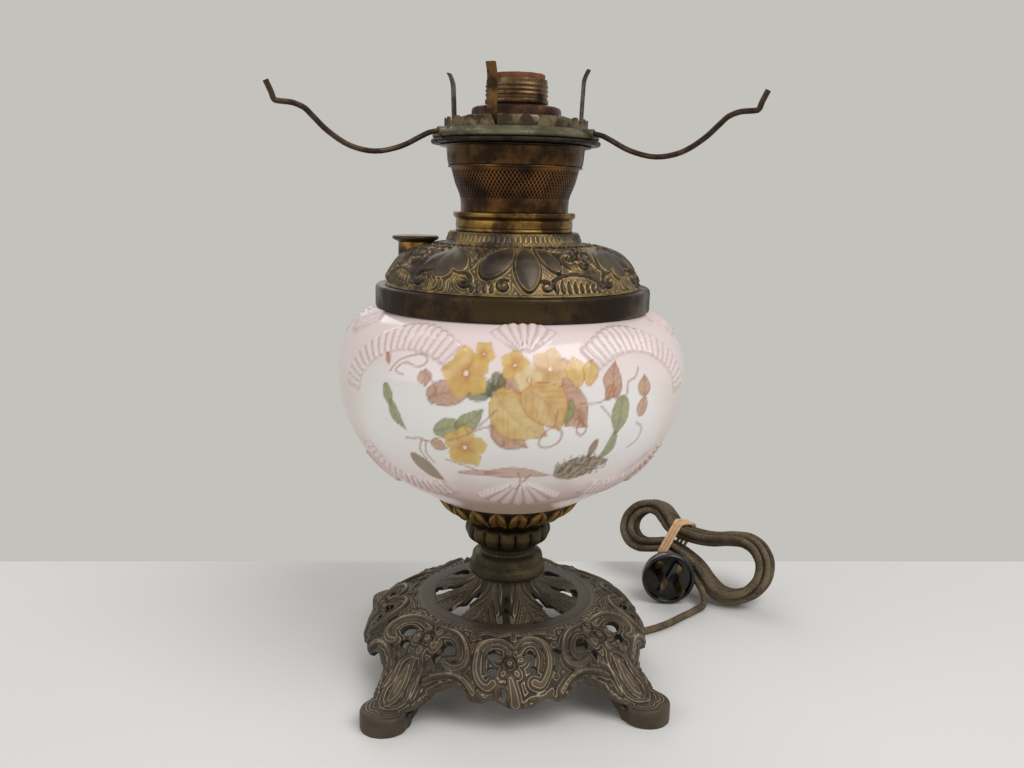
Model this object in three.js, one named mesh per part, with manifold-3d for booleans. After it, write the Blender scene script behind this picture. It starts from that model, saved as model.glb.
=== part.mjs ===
// An oil parlor lamp with a moulded glass body on a cast base, wired for a bulb.
// Millimetres, +Z up. The origin is on the floor, under the middle of the box
// that the lamp itself takes up, without its cord.

import * as THREE from "three";
import { mergeVertices } from "three/addons/utils/BufferGeometryUtils.js";
import Module from "manifold-3d";

const wasm = await Module();
wasm.setup();

// Gaps and clearances
const seatGap = 0.3;
const runGap = 0.4;
const overrun = 4;

// Cast base
const ringHeight = 41.2;
const ringInner = 41.1;
const ringOuter = 48.5;
const castWall = 3.4;
const castRelief = 1.3;
const hubRadius = 17.6;
const hubRise = 12.8;
const hubDepth = 7.8;
const footReach = 95.3;
const footRadius = 12.9;
const footHeight = 9.2;
const skirtReach = 81;
const skirtFoot = 10;
const baseTurn = THREE.MathUtils.degToRad(5.66);

// Hollow rod that clamps the stem, and what it clamps with
const rodRadius = 5;
const rodBore = 3.4;
const rodBelow = 13.5;
const rodAbove = 9.2;
const nutAcross = 15;
const nutHeight = 5;
const washerRadius = 12;
const washerThick = 1.8;
const bushThick = 2;

// Stem pieces
const flangeRadius = 21.6;
const flangeHeight = 15.2;
const knopRadius = 24.1;
const knopHeight = 16.4;
const cupRadius = 39.3;
const cupHeight = 16.2;
const cupWall = 2;
const cupFloor = 5.5;

// Glass body
const cushionThick = 2;
const cushionRadius = 24;
const glassRadius = 93.7;
const glassHeight = 120;
const glassWall = 3.2;
const neckShare = 0.738;
const neckRadius = neckShare * glassRadius;
const plateRadius = 20;
const plateThick = 1.8;

// Rim band, crown and font
const bandProud = 4.55;
const bandRadius = neckRadius + bandProud;
const bandHeight = 12;
const bandCover = 7.6;
const ledgeReach = 5.15;
const bandLedge = neckRadius - ledgeReach;
const crownSetback = 5;
const crownRadius = bandRadius - crownSetback;
const crownHeight = 28;
const crownWall = 1.4;
const crownRelief = 1.1;
const crownShells = 5;
const crownMouth = 26;
const fontClear = 1.4;
const fontRadius = bandLedge - fontClear;
const fontDepth = 58;
const fontWall = 1.2;
const fontOverlap = 1.6;
const fontLip = bandLedge + fontOverlap;
const draftRadius = 12.5;
const draftWall = 1;
const collarRadius = 31.2;
const collarLip = 32.5;
const collarHeight = 10;
const collarLipHeight = 2.5;

// Filler of the font
const fillerPlaceShare = 0.767;
const fillerPlace = fillerPlaceShare * crownRadius;
const fillerRadius = 9.2;
const fillerBore = 7;
const fillerDrop = 6.3;
const gasketThick = 0.7;
const capRadius = 12.4;
const capHeight = 3.7;
const capSkirt = 1.1;

// Burner
const basketRadius = 33.9;
const basketHeight = 23.2;
const sheetWall = 0.8;
const shellRadius = 36.4;
const shellLip = 39.9;
const shellHeight = 10.3;
const discRadius = 44.5;
const discThick = 2.3;
const discHole = 24.6;
const restRise = 0.6;
const seatRadius = 30.2;
const seatHeight = 11.3;
const coronetRadius = 37.6;
const coronetWall = 0.8;
const coronetHeight = 10.4;
const toothHeight = 5.1;
const toothCount = 24;

// Prongs that grip the chimney
const prongCount = 4;
const prongTurn = THREE.MathUtils.degToRad(-19.5);
const prongRadius = 35.2;
const prongWidth = 5.2;
const prongThick = 0.8;
const prongHeight = 34.8;
const prongFlare = 3.3;

// Tripod for the shade
const tripodInner = 38.3;
const tripodOuter = 40.2;
const tripodHeight = 5.1;
const armCount = 3;
const armTurn = THREE.MathUtils.degToRad(60);
const armReach = 131.6;
const armDrop = 11.4;
const wireRadius = 1.35;
const lugRadius = 2.5;
const lugLength = 6;

// Adapter and socket
const adapterRadius = 23.5;
const adapterHeight = 11.8;
const adapterWall = 1.2;
const nippleRadius = 4.8;
const nippleLength = 12.4;
const socketRadius = 15.9;
const socketRim = 16.5;
const socketHeight = 9.7;
const threadDepth = 0.5;
const threadCount = 3;
const socketCapHeight = 3.2;
const socketWall = 1;
const linerWall = 0.8;
const linerHeight = 14.7;
const screwShellWall = 0.6;
const screwShellHeight = 11.5;
const insulatorThick = 2;
const contactRadius = 4;
const contactThick = 0.8;
const terminalRadius = 1.8;
const terminalHeight = 1.4;

// Cord, and the hank that most of it is wound into: loops drawn in at a waist,
// with a large lobe on the right that stands on the floor.
const cordRadius = 2.25;
const leadSides = 8;
const leadSteps = 24;
const tailSteps = 12;
const hankTurns = 6;
const layerTurns = 1.5;
const hankSides = 6;
const turnStep = 5.6;
const layerStep = 5.4;
const layerRise = 2;
const rightLobe = 15.5;
const rightReach = 45;
const leftLobe = 10.5;
const leftReach = 22;
const waistHalf = 2.6;
const hankFacing = THREE.MathUtils.degToRad(30);
const hankLean = THREE.MathUtils.degToRad(35);
const hankTilt = THREE.MathUtils.degToRad(15);
const tieWidth = 7.5;
const tieThick = 1.2;
const tieClear = 0.85;
const tieTurn = 1 / 8;
const climbTurn = 1 / 4;

// Plug
const plugRadius = 17.5;
const plugDepth = 17;
const plugRecess = 4.5;
const plugWall = 2.4;
const bladeTurn = THREE.MathUtils.degToRad(-27);
const bladeLength = 17.5;
const bladeWidth = 6.35;
const bladeThick = 1.5;
const bladeSpacing = 12.7;
const plugScrewRadius = 3.3;
const plugScrewHeight = 1.8;
const plugRight = 107.8;
const plugBehind = 79;

// Facets
const wideFacets = 24;
const middleFacets = 20;
const smallFacets = 12;
const holeSides = 6;
const armSides = 6;
const armSteps = 18;
const gapSamples = 4;
const stationsApart = 4;
const cornerSteps = 3;

// Heights, from the floor up
const hubTop = ringHeight + hubRise;
const flangeFoot = hubTop + seatGap;
const knopFoot = flangeFoot + flangeHeight + seatGap;
const cupFoot = knopFoot + knopHeight + seatGap;
const cushionFoot = cupFoot + cupFloor + seatGap;
const glassFoot = cushionFoot + cushionThick + seatGap;
const glassTop = glassFoot + glassHeight;
const bandFoot = glassTop - bandCover;
const bandTop = bandFoot + bandHeight;
const crownFoot = bandTop + seatGap;
const crownTop = crownFoot + crownHeight;
const fillerTop = crownTop - fillerDrop;
const collarFoot = crownTop + seatGap;
const collarTop = collarFoot + collarHeight;
const basketFoot = collarTop + seatGap;
const shellFoot = basketFoot + basketHeight + seatGap;
const discFoot = shellFoot + shellHeight + seatGap;
const galleryFoot = discFoot + discThick + seatGap;
const adapterFoot = galleryFoot + coronetHeight / 2 - seatGap;
const adapterTop = adapterFoot + adapterHeight;
const socketFoot = adapterTop + seatGap;

// The lamp stands forward of the origin by half of what its rear arm reaches
// further than its glass, so that the origin is under the middle of its box.
const axisY = (glassRadius - armReach - wireRadius) / 2;

// Join and cut

function toSolid(geometry) {
  const bare = geometry.index ? geometry.toNonIndexed() : geometry.clone();
  for (const name of Object.keys(bare.attributes)) {
    if (name !== "position") bare.deleteAttribute(name);
  }
  const merged = mergeVertices(bare);
  return new wasm.Manifold(
    new wasm.Mesh({
      numProp: 3,
      vertProperties: merged.attributes.position.array,
      triVerts: new Uint32Array(merged.index.array),
    }),
  );
}

function toGeometry(solid) {
  const mesh = solid.getMesh();
  const geometry = new THREE.BufferGeometry();
  const points = new Float32Array(mesh.vertProperties);
  geometry.setAttribute("position", new THREE.BufferAttribute(points, 3));
  geometry.setIndex(new THREE.BufferAttribute(new Uint32Array(mesh.triVerts), 1));
  return geometry;
}

// Shapes

// A solid of revolution about Z. The outline runs up the outside; it starts
// and ends on the axis, or is closed here.
function spun(outline, facets) {
  const points = outline.map(([radius, height]) => new THREE.Vector2(radius, height));
  const first = points[0];
  if (first.x > 0) points.push(first.clone());
  return new THREE.LatheGeometry(points, facets).rotateX(Math.PI / 2);
}

// A table of shares turned into an outline: shares of a radius and a height.
function scaled(shares, radius, height, foot) {
  return shares.map(([across, up]) => [across * radius, foot + up * height]);
}

// The outline moved in by a wall, measured square to it.
function offsetLine(line, wall) {
  return line.map(([radius, height], i) => {
    const before = line[Math.max(i - 1, 0)];
    const after = line[Math.min(i + 1, line.length - 1)];
    const run = new THREE.Vector2(after[0] - before[0], after[1] - before[1]).normalize();
    return [radius - run.y * wall, height + run.x * wall];
  });
}

// A solid casting with a bore for the rod.
function bored(shares, radius, height, foot, facets) {
  const bore = rodRadius + runGap;
  return spun([[bore, foot], ...scaled(shares, radius, height, foot), [bore, foot + height]], facets);
}

// A plain ring with a rectangular section.
function band(inner, outer, foot, top, facets) {
  return spun([[inner, foot], [outer, foot], [outer, top], [inner, top]], facets);
}

// A small turned disc whose top is a share of its width.
const headShare = 0.8;

function disc(radius, topShare, foot, top) {
  return spun([[0, foot], [radius, foot], [radius * topShare, top], [0, top]], smallFacets);
}

// A prism cut out of a flat outline, standing on the height foot.
function prism(outline, foot, height) {
  const shape = new THREE.Shape(outline.map(([x, y]) => new THREE.Vector2(x, y)));
  const geometry = new THREE.ExtrudeGeometry(shape, { depth: height, bevelEnabled: false });
  return geometry.translate(0, 0, foot);
}

// A round wire along a list of points.
function wire(points, radius, sides, steps) {
  const shape = new THREE.Shape();
  for (let i = 0; i < sides; i += 1) {
    const turn = (2 * Math.PI * i) / sides;
    const corner = [radius * Math.cos(turn), radius * Math.sin(turn)];
    if (i === 0) shape.moveTo(...corner);
    else shape.lineTo(...corner);
  }
  shape.closePath();
  const path = new THREE.CatmullRomCurve3(points, false, "centripetal");
  return new THREE.ExtrudeGeometry(shape, { steps, bevelEnabled: false, extrudePath: path });
}

// A closed skin over rings of points: every ring is closed, and so is the row
// of rings.
function closedGrid(rings) {
  const across = rings[0].length;
  const points = rings.flat();
  const faces = [];
  for (let i = 0; i < rings.length; i += 1) {
    const next = (i + 1) % rings.length;
    for (let j = 0; j < across; j += 1) {
      const side = (j + 1) % across;
      const a = i * across + j;
      const b = next * across + j;
      const c = next * across + side;
      const d = i * across + side;
      faces.push(a, b, c, a, c, d);
    }
  }
  const geometry = new THREE.BufferGeometry();
  geometry.setAttribute("position", new THREE.Float32BufferAttribute(points.flat(), 3));
  geometry.setIndex(faces);
  return geometry;
}

// A point on the circle of a radius, at an angle measured from the front
// towards the right.
function around(radius, turn, height) {
  return [radius * Math.sin(turn), -radius * Math.cos(turn), height];
}

// Materials

function finish(color, roughness, metalness) {
  return new THREE.MeshStandardMaterial({ color, roughness, metalness });
}

const castBronze = finish(0x6b5b48, 0.62, 0.7);
const oliveBrass = finish(0x8a7c52, 0.5, 0.8);
const goldBrass = finish(0xa98a4c, 0.45, 0.85);
const pinkGlass = finish(0xf1dcd6, 0.12, 0);
const darkBrass = finish(0x6a533b, 0.45, 0.8);
const crownBronze = finish(0x5d5245, 0.55, 0.75);
const brownBrass = finish(0x8c6334, 0.42, 0.8);
const paleTin = finish(0x9b9576, 0.55, 0.6);
const copper = finish(0x7a4f35, 0.4, 0.85);
const agedBrass = finish(0x9c8458, 0.4, 0.85);
const steel = finish(0x7d7a74, 0.5, 0.8);
const fibre = finish(0x7c4433, 0.8, 0);
const porcelain = finish(0xe6e1d6, 0.35, 0);
const felt = finish(0x4a4038, 0.95, 0);
const cordCover = finish(0x6d5c4b, 0.85, 0);
const plugBlack = finish(0x17161a, 0.4, 0);
const rubberBand = finish(0xe0b48c, 0.8, 0);

// The scene

const lamp = new THREE.Group();
lamp.position.y = axisY;

function place(name, geometry, material, parent = lamp) {
  const mesh = new THREE.Mesh(geometry, material);
  mesh.name = name;
  parent.add(mesh);
  return mesh;
}

// Cast base: a pierced and scrolled skirt on four feet, hung from a plain ring,
// with a dished hub of eight spokes inside the ring.

// The lower edge, from the middle of a face to the middle of a leg: the angle
// in degrees as a share of a full circle's 360, and the height as a share of
// the ring's height. A pendant, a scroll's end, an arch and the leg.
const edgeShares = [
  [0 / 360, 0.3],
  [4 / 360, 0.31],
  [7 / 360, 0.39],
  [10 / 360, 0.43],
  [14 / 360, 0.36],
  [17.5 / 360, 0.37],
  [21 / 360, 0.5],
  [25 / 360, 0.54],
  [30 / 360, 0.44],
  [34 / 360, 0.29],
  [38 / 360, 0.13],
  [45 / 360, 0.09],
];
const legStartShare = 31 / 360;
const legEndShare = 40 / 360;

// The back of a leg, from the ring out to the pad: shares of the way out and
// of the way down.
const legShares = [
  [0, 0],
  [0.2, 0.087],
  [0.41, 0.255],
  [0.58, 0.457],
  [0.747, 0.736],
  [0.895, 0.938],
  [1, 1],
];

const skirtRowShares = [0.36, 0.62, 0.82, 0.94, 1];

// The raised work on those rows, at each angle of the lower edge: a flower and
// a pendant, a scroll round them, the bow of the arch, and a flower and a
// tongue on the leg. Shares of its height.
const reliefShares = [
  [0.2, 1.2, 1, 0.2, 0.8],
  [0.6, 0.5, 0.6, 0.5, 0.8],
  [1, 0, 0, 0.2, 0.3],
  [0.9, 0, 0, 0.4, 0],
  [1, 0.6, 0.5, 0.9, 0.6],
  [0.3, 1, 1, 0.8, 1],
  [0, 0.4, 0.1, 0.4, 0.5],
  [0.7, 0.9, 0, 0.5, 0.8],
  [1, 0.2, 0.7, 0.9, 0.9],
  [0.4, 1, 0.2, 0.2, 0.6],
  [0.3, 0.5, 1, 0.3, 0.3],
  [1.2, 0.3, 0.8, 0.1, 0.2],
];

function along(table, share) {
  const last = table.length - 1;
  const i = Math.min(table.findIndex(([at]) => at >= share), last);
  if (i <= 0) return table[0][1];
  const [fromAt, fromValue] = table[i - 1];
  const [toAt, toValue] = table[i];
  return THREE.MathUtils.mapLinear(share, fromAt, toAt, fromValue, toValue);
}

// One point of the skirt's outer face: the row as a share of the way out, for
// an edge at the height edge, in a direction that is leg parts leg.
function skirtPoint(row, edge, leg) {
  const drop = ringHeight - skirtFoot;
  const reach = skirtReach - ringOuter;
  const left = 1 - Math.min((ringHeight - edge) / drop, 1);
  const out = row * Math.sqrt(1 - left * left);
  const faceRadius = ringOuter + reach * out;
  const faceHeight = ringHeight - drop * (1 - Math.sqrt(1 - out * out));
  const legRadius = ringOuter + (footReach - ringOuter) * row;
  const legHeight = ringHeight - (ringHeight - footHeight) * along(legShares, row);
  const lerp = THREE.MathUtils.lerp;
  return [lerp(faceRadius, legRadius, leg), lerp(faceHeight, legHeight, leg)];
}

function skirtSection(turnShare, edgeShare, reliefs) {
  const leg = THREE.MathUtils.smoothstep(turnShare, legStartShare, legEndShare);
  const edge = edgeShare * ringHeight;
  const plain = [[ringOuter, ringHeight]];
  for (const row of skirtRowShares) plain.push(skirtPoint(row, edge, leg));
  const inner = offsetLine(plain, -castWall).filter((point, i) => i % 2 === 1);
  const raised = offsetLine(plain, castRelief);
  const outer = plain.map(([radius, height], i) => {
    const share = i === 0 ? 0 : reliefs[i - 1];
    const [up, over] = raised[i];
    return [THREE.MathUtils.lerp(radius, up, share), THREE.MathUtils.lerp(height, over, share)];
  });
  const floor = ringHeight - castWall;
  const under = [[ringInner, floor], [ringOuter - castWall / 2, floor]];
  return [...under, ...inner, ...outer.reverse(), [ringInner, ringHeight]];
}

function skirt() {
  const octants = [];
  for (let face = 0; face < 4; face += 1) {
    for (const mirror of [-1, 1]) {
      const rows = edgeShares.map(([turnShare, edgeShare], i) => [turnShare, edgeShare, reliefShares[i]]);
      if (mirror < 0) rows.reverse();
      for (const row of rows.slice(0, -1)) octants.push([face / 4 + mirror * row[0], ...row]);
    }
  }
  const rings = octants.map(([at, ...section]) =>
    skirtSection(...section).map(([radius, height]) =>
      around(radius, 2 * Math.PI * at + baseTurn, height),
    ),
  );
  return closedGrid(rings);
}

// The dished hub, and the eight openings that leave its spokes: outline as
// shares of the ring's inner radius, out and to the side.
const spokeCount = 8;
const openingShares = [
  [0.57, 0.025],
  [0.74, 0.03],
  [0.79, 0.085],
  [0.83, 0.07],
  [0.89, 0.13],
  [0.995, 0.125],
];

const spokeColumns = 4;
const hubTopShares = [
  [2.43, -0.02],
  [1.6, 0.25],
  [1.16, 0.58],
  [1, 0.84],
  [0.965, 1],
];
const hubUnderShares = [
  [0.8, 0.39],
  [1.1, 0.26],
  [1.6, -0.05],
  [2.43, -0.26],
];

// Each spoke is a leaf with a raised rib, so the hub's section changes round it.
function hub() {
  const foot = hubTop - hubDepth;
  const top = scaled(hubTopShares, hubRadius, hubRise, ringHeight);
  const ribbed = offsetLine(top, castRelief);
  const under = scaled(hubUnderShares, hubRadius, hubRise, ringHeight);
  const bore = rodRadius + runGap;
  const rings = [];
  for (let i = 0; i < spokeCount * spokeColumns; i += 1) {
    const turn = (2 * Math.PI * i) / (spokeCount * spokeColumns);
    const onRib = i % spokeColumns === spokeColumns / 2;
    const line = onRib ? [top[0], ...ribbed.slice(1, -1), top.at(-1)] : top;
    const section = [[bore, foot], ...under, ...line, [bore, hubTop]];
    rings.push(section.map(([radius, height]) => around(radius, turn, height)));
  }
  return closedGrid(rings);
}

function spokeOpening(turn) {
  const right = openingShares.map(([out, side]) => [out * ringInner, side * ringInner]);
  const left = [...right].reverse().map(([out, side]) => [out, -side]);
  const outline = prism([...left, ...right], ringHeight - hubRise, 2 * hubRise);
  return outline.rotateZ(turn - Math.PI / 2);
}

// Pierced holes of the skirt: the angle from the face's middle, the way out as
// a share of the skirt's reach, and the two half sizes as shares of it.
const pierceShares = [
  [-11 / 360, 0.8, 0.045, 0.03],
  [-12.5 / 360, 0.92, 0.03, 0.045],
  [9 / 360, 0.85, 0.03, 0.045],
  [20 / 360, 0.815, 0.05, 0.035],
  [-31 / 360, 0.8, 0.05, 0.035],
];

function pierced(turn, [, out, length, width]) {
  const outline = [];
  for (let i = 0; i < holeSides; i += 1) {
    const angle = (2 * Math.PI * i) / holeSides;
    outline.push([
      (out + length * Math.cos(angle)) * skirtReach,
      width * Math.sin(angle) * skirtReach,
    ]);
  }
  return prism(outline, 0, hubTop).rotateZ(turn - Math.PI / 2);
}

function foot(turn) {
  const [x, y] = around(footReach, turn, 0);
  const pad = spun(
    [
      [0, 0],
      [footRadius * 0.95, 0],
      [footRadius, footHeight * 0.3],
      [footRadius * 0.97, footHeight * 0.9],
      [footRadius * 0.86, footHeight],
      [0, footHeight],
    ],
    smallFacets,
  );
  return pad.translate(x, y, 0);
}

let base = toSolid(skirt()).add(toSolid(hub()));
for (let i = 0; i < 4; i += 1) {
  base = base.add(toSolid(foot(baseTurn + ((i + 0.5) * Math.PI) / 2)));
}
for (let i = 0; i < spokeCount; i += 1) {
  base = base.subtract(toSolid(spokeOpening((2 * Math.PI * i) / spokeCount)));
}
for (let face = 0; face < 4; face += 1) {
  for (const hole of pierceShares) {
    const turn = baseTurn + 2 * Math.PI * (face / 4 + hole[0]);
    base = base.subtract(toSolid(pierced(turn, hole)));
  }
}
place("base_casting", toGeometry(base), castBronze);

// Rod, washer and nut under the hub, and the bush at the rod's lower end.

const washerFoot = hubTop - hubDepth - seatGap - washerThick;
const nutFoot = washerFoot - seatGap - nutHeight;
const rodFoot = hubTop - hubDepth - rodBelow;
const glassFloor = glassFoot + glassWall;
const plateFoot = glassFloor + seatGap;
const topNutFoot = plateFoot + plateThick + seatGap;
const rodTop = plateFoot + rodAbove;
const rodClear = rodRadius + seatGap;

function nut(foot) {
  const across = nutAcross / Math.sqrt(3);
  const shape = new THREE.Shape();
  for (let i = 0; i < 6; i += 1) {
    const turn = (Math.PI * i) / 3;
    const corner = [across * Math.cos(turn), across * Math.sin(turn)];
    if (i === 0) shape.moveTo(...corner);
    else shape.lineTo(...corner);
  }
  shape.closePath();
  const hole = new THREE.Path();
  hole.absarc(0, 0, rodClear, 0, 2 * Math.PI, true);
  shape.holes.push(hole);
  const made = new THREE.ExtrudeGeometry(shape, {
    depth: nutHeight,
    bevelEnabled: false,
    curveSegments: smallFacets,
  });
  return made.translate(0, 0, foot);
}

place("tie_rod", band(rodBore, rodRadius, rodFoot, rodTop, smallFacets), steel);
const washerTop = washerFoot + washerThick;
place("base_washer", band(rodClear, washerRadius, washerFoot, washerTop, smallFacets), steel);
place("base_nut", nut(nutFoot), steel);
const bushTop = rodFoot - seatGap;
const bushFoot = bushTop - bushThick;
place("cord_bush", band(cordRadius + seatGap, rodRadius, bushFoot, bushTop, smallFacets), fibre);

// Stem: a plain spun collar, a gadrooned knop and the cup of leaves, threaded
// on the rod one on the other.

const flangeShares = [
  [0.8, 0],
  [0.91, 0.07],
  [1, 0.3],
  [0.995, 0.56],
  [0.907, 0.83],
  [0.74, 0.93],
  [0.722, 1],
];
const knopShares = [
  [0.65, 0],
  [0.67, 0.1],
  [0.9, 0.42],
  [1, 0.74],
  [0.97, 0.96],
  [0.86, 1],
];
const cupShares = [
  [0.52, 0],
  [0.58, 0.13],
  [0.72, 0.33],
  [0.906, 0.6],
  [0.995, 0.94],
  [1, 1],
];

const flange = bored(flangeShares, flangeRadius, flangeHeight, flangeFoot, middleFacets);
const knop = bored(knopShares, knopRadius, knopHeight, knopFoot, middleFacets);
place("stem_flange", flange, oliveBrass);
place("stem_knop", knop, oliveBrass);

function leafCup() {
  const outer = scaled(cupShares, cupRadius, cupHeight, cupFoot);
  const floor = cupFoot + cupFloor;
  const inner = [
    [cupRadius - cupWall, cupFoot + cupHeight],
    [cupRadius * 0.906 - cupWall, cupFoot + cupHeight * 0.6],
    [cupRadius * 0.66, floor],
    [rodClear, floor],
  ];
  return spun([[rodClear, cupFoot], ...outer, ...inner], wideFacets);
}

place("leaf_cup", leafCup(), goldBrass);

// Glass body: blown in a mould, open at the top, with a hole for the rod.

// Its foot follows the cup, and above the cup it has its own outline.
const footShares = [
  [0.696, 0],
  [0.885, 0.44],
];
const glassShares = [
  [0.573, 0.131],
  [0.708, 0.194],
  [0.8, 0.259],
  [0.882, 0.341],
  [0.947, 0.438],
  [0.988, 0.542],
  [1, 0.644],
  [0.994, 0.723],
  [0.954, 0.812],
  [0.884, 0.884],
  [0.79, 0.929],
  [0.74, 0.935],
  [neckShare, 0.95],
  [neckShare, 1],
];

function glassBody() {
  const cupTop = cupFoot + cupHeight;
  const cupInner = cupRadius - cupWall;
  const outer = [
    [rodClear + glassWall, glassFoot],
    ...scaled(footShares, cupInner, cupTop - glassFoot, glassFoot),
    [cupInner - glassWall / 2, cupTop],
    [cupRadius + seatGap, cupTop + glassWall / 2],
    ...scaled(glassShares, glassRadius, glassHeight, glassFoot),
  ];
  const inner = offsetLine(outer, glassWall);
  inner[0] = [outer[0][0], glassFoot + glassWall];
  inner[inner.length - 1] = [neckRadius - glassWall, glassTop];
  const kept = inner.filter((point, i) => ![3, 6, 8, 9, 11, 13, 14, 16].includes(i));
  return spun([...outer, ...kept.reverse()], wideFacets);
}

place("glass_body", glassBody(), pinkGlass);
const cushionTop = cushionFoot + cushionThick;
place("glass_cushion", band(rodClear, cushionRadius, cushionFoot, cushionTop, smallFacets), felt);
const plateTop = plateFoot + plateThick;
place("glass_plate", band(rodClear, plateRadius, plateFoot, plateTop, smallFacets), steel);
place("rod_nut", nut(topNutFoot), steel);

// Rim band on the glass, with a ledge that the font hangs on.

function rimBand() {
  const inner = neckRadius + runGap;
  const ledge = glassTop + seatGap;
  const bead = sheetWall;
  return spun(
    [
      [inner, bandFoot + seatGap],
      [bandRadius, bandFoot + seatGap],
      [bandRadius, bandTop - 2 * bead],
      [bandRadius - bead, bandTop],
      [bandLedge, bandTop],
      [bandLedge, ledge],
      [inner, ledge],
    ],
    wideFacets,
  );
}

place("rim_band", rimBand(), darkBrass);

// Crown: the pressed shoulder over the font, and the collar on its mouth.

const crownShares = [
  [1, 0],
  [0.98, 0.093],
  [0.939, 0.282],
  [0.885, 0.471],
  [0.803, 0.632],
  [0.67, 0.746],
  [0.555, 0.793],
  [0.518, 0.868],
  [0.502, 1],
];

function crownLine(grow) {
  const line = scaled(crownShares, crownRadius, crownHeight, crownFoot);
  return offsetLine(line, -grow);
}

// Raised lobes round the crown, from the middle of one shell to the next, and
// their height on each row of its outline. Shares of the relief.
const lobeShares = [1, 0.1, 0.8, 0, 1, 0, 1, 0, 0.8, 0.1];
const lobeRowShares = [0, 0.5, 1, 1, 1, 0.3, 0, 0, 0];
const crownTurn = THREE.MathUtils.degToRad(-5);

// The crown's outer line at each column, grown by a clearance, between points
// that all the columns share.
function crownRings(grow, before, after) {
  const plain = crownLine(grow);
  const raised = crownLine(grow + crownRelief);
  const columns = crownShells * lobeShares.length;
  return Array.from({ length: columns }, (none, i) => {
    const turn = (2 * Math.PI * i) / columns + crownTurn;
    const line = plain.map(([radius, height], row) => {
      const share = lobeRowShares[row] * lobeShares[i % lobeShares.length];
      const [up, over] = raised[row];
      return [THREE.MathUtils.lerp(radius, up, share), THREE.MathUtils.lerp(height, over, share)];
    });
    return [...before, ...line, ...after].map(([radius, height]) => around(radius, turn, height));
  });
}

function crownShell() {
  const outer = crownLine(0);
  const inner = offsetLine(outer, crownWall);
  const mouthEdge = crownTop - crownWall;
  inner[0] = [outer[0][0] - crownWall, crownFoot];
  inner[inner.length - 1] = [outer.at(-1)[0] - crownWall, mouthEdge];
  inner[6] = [outer[7][0] - crownWall, inner[6][1]];
  const mouth = [[crownMouth, crownTop], [crownMouth, mouthEdge]];
  const kept = inner.filter((point, i) => ![1, 3, 5, 7].includes(i)).reverse();
  return closedGrid(crownRings(0, kept, mouth));
}

place("crown_shell", crownShell(), crownBronze);

function oilFont() {
  const foot = bandTop - fontDepth;
  const lip = bandTop + seatGap;
  const hole = draftRadius + seatGap;
  return spun(
    [
      [hole, foot],
      [fontRadius - fontWall, foot],
      [fontRadius, foot + 2 * fontWall],
      [fontRadius, lip],
      [fontLip, lip],
      [fontLip, lip + fontWall],
      [fontRadius - fontWall, lip + fontWall],
      [fontRadius - fontWall, foot + 2 * fontWall],
      [hole, foot + fontWall],
    ],
    middleFacets,
  );
}

const draftFoot = bandTop - fontDepth - overrun;
const draftTop = adapterTop - adapterWall - seatGap;
place("oil_font", oilFont(), brownBrass);
const draftInner = draftRadius - draftWall;
place("draft_tube", band(draftInner, draftRadius, draftFoot, draftTop, smallFacets), brownBrass);

function collar() {
  const lipFoot = collarTop - collarLipHeight;
  return spun(
    [
      [crownMouth + seatGap, collarFoot],
      [collarRadius, collarFoot],
      [collarRadius, lipFoot - sheetWall],
      [collarLip, lipFoot],
      [collarLip, collarTop - sheetWall / 2],
      [collarLip - sheetWall, collarTop],
      [crownMouth + seatGap, collarTop],
    ],
    middleFacets,
  );
}

place("collar", collar(), goldBrass);

// Filler: a neck that stands on the crown's shoulder, a washer and a cap.

const filler = new THREE.Group();
filler.position.x = -fillerPlace;
lamp.add(filler);

function fillerNeck() {
  const ring = band(fillerBore, fillerRadius, fillerTop - crownHeight / 2, fillerTop, smallFacets);
  const under = closedGrid(crownRings(seatGap, [[seatGap, crownFoot]], [[seatGap, crownTop]]));
  const cut = toSolid(ring.translate(-fillerPlace, 0, 0)).subtract(toSolid(under));
  return toGeometry(cut).translate(fillerPlace, 0, 0);
}

const gasketFoot = fillerTop + seatGap;
const gasketTop = gasketFoot + gasketThick;
const capRecess = gasketTop + seatGap;

function fillerCap() {
  const skirtInner = fillerRadius + seatGap;
  const foot = capRecess - capSkirt;
  const rim = foot + capHeight * 0.38;
  return spun(
    [
      [0, capRecess],
      [skirtInner, capRecess],
      [skirtInner, foot],
      [skirtInner + seatGap, foot],
      [capRadius, rim],
      [capRadius, rim + capHeight * 0.34],
      [capRadius * 0.9, foot + capHeight * 0.86],
      [0, foot + capHeight],
    ],
    middleFacets,
  );
}

place("filler_neck", fillerNeck(), goldBrass, filler);
place("filler_gasket", band(fillerBore, fillerRadius, gasketFoot, gasketTop, smallFacets), felt, filler);
place("filler_cap", fillerCap(), darkBrass, filler);

// Burner: perforated basket, plain shell, disc, chimney seat and coronet.

const basketShares = [
  [0.844, 0],
  [0.847, 0.18],
  [0.864, 0.35],
  [0.938, 0.62],
  [1, 0.94],
];

function basket() {
  const outer = scaled(basketShares, basketRadius, basketHeight, basketFoot);
  const top = basketFoot + basketHeight;
  const rim = basketRadius + 2 * sheetWall;
  const inner = outer.map(([radius, height]) => [radius - sheetWall, height]);
  return spun(
    [...outer, [rim, top - sheetWall], [rim, top], [basketRadius - sheetWall, top], ...inner.reverse()],
    middleFacets,
  );
}

// The disc, with the raised ring that a chimney stands on.
function burnerDisc() {
  const top = discFoot + discThick;
  const restInner = seatRadius + runGap;
  const restOuter = prongRadius - prongThick / 2 - runGap;
  return spun(
    [
      [discHole, discFoot],
      [discRadius, discFoot],
      [discRadius, top],
      [restOuter, top],
      [restOuter, top + restRise],
      [restInner, top + restRise],
      [restInner, top],
      [discHole, top],
    ],
    middleFacets,
  );
}

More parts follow.
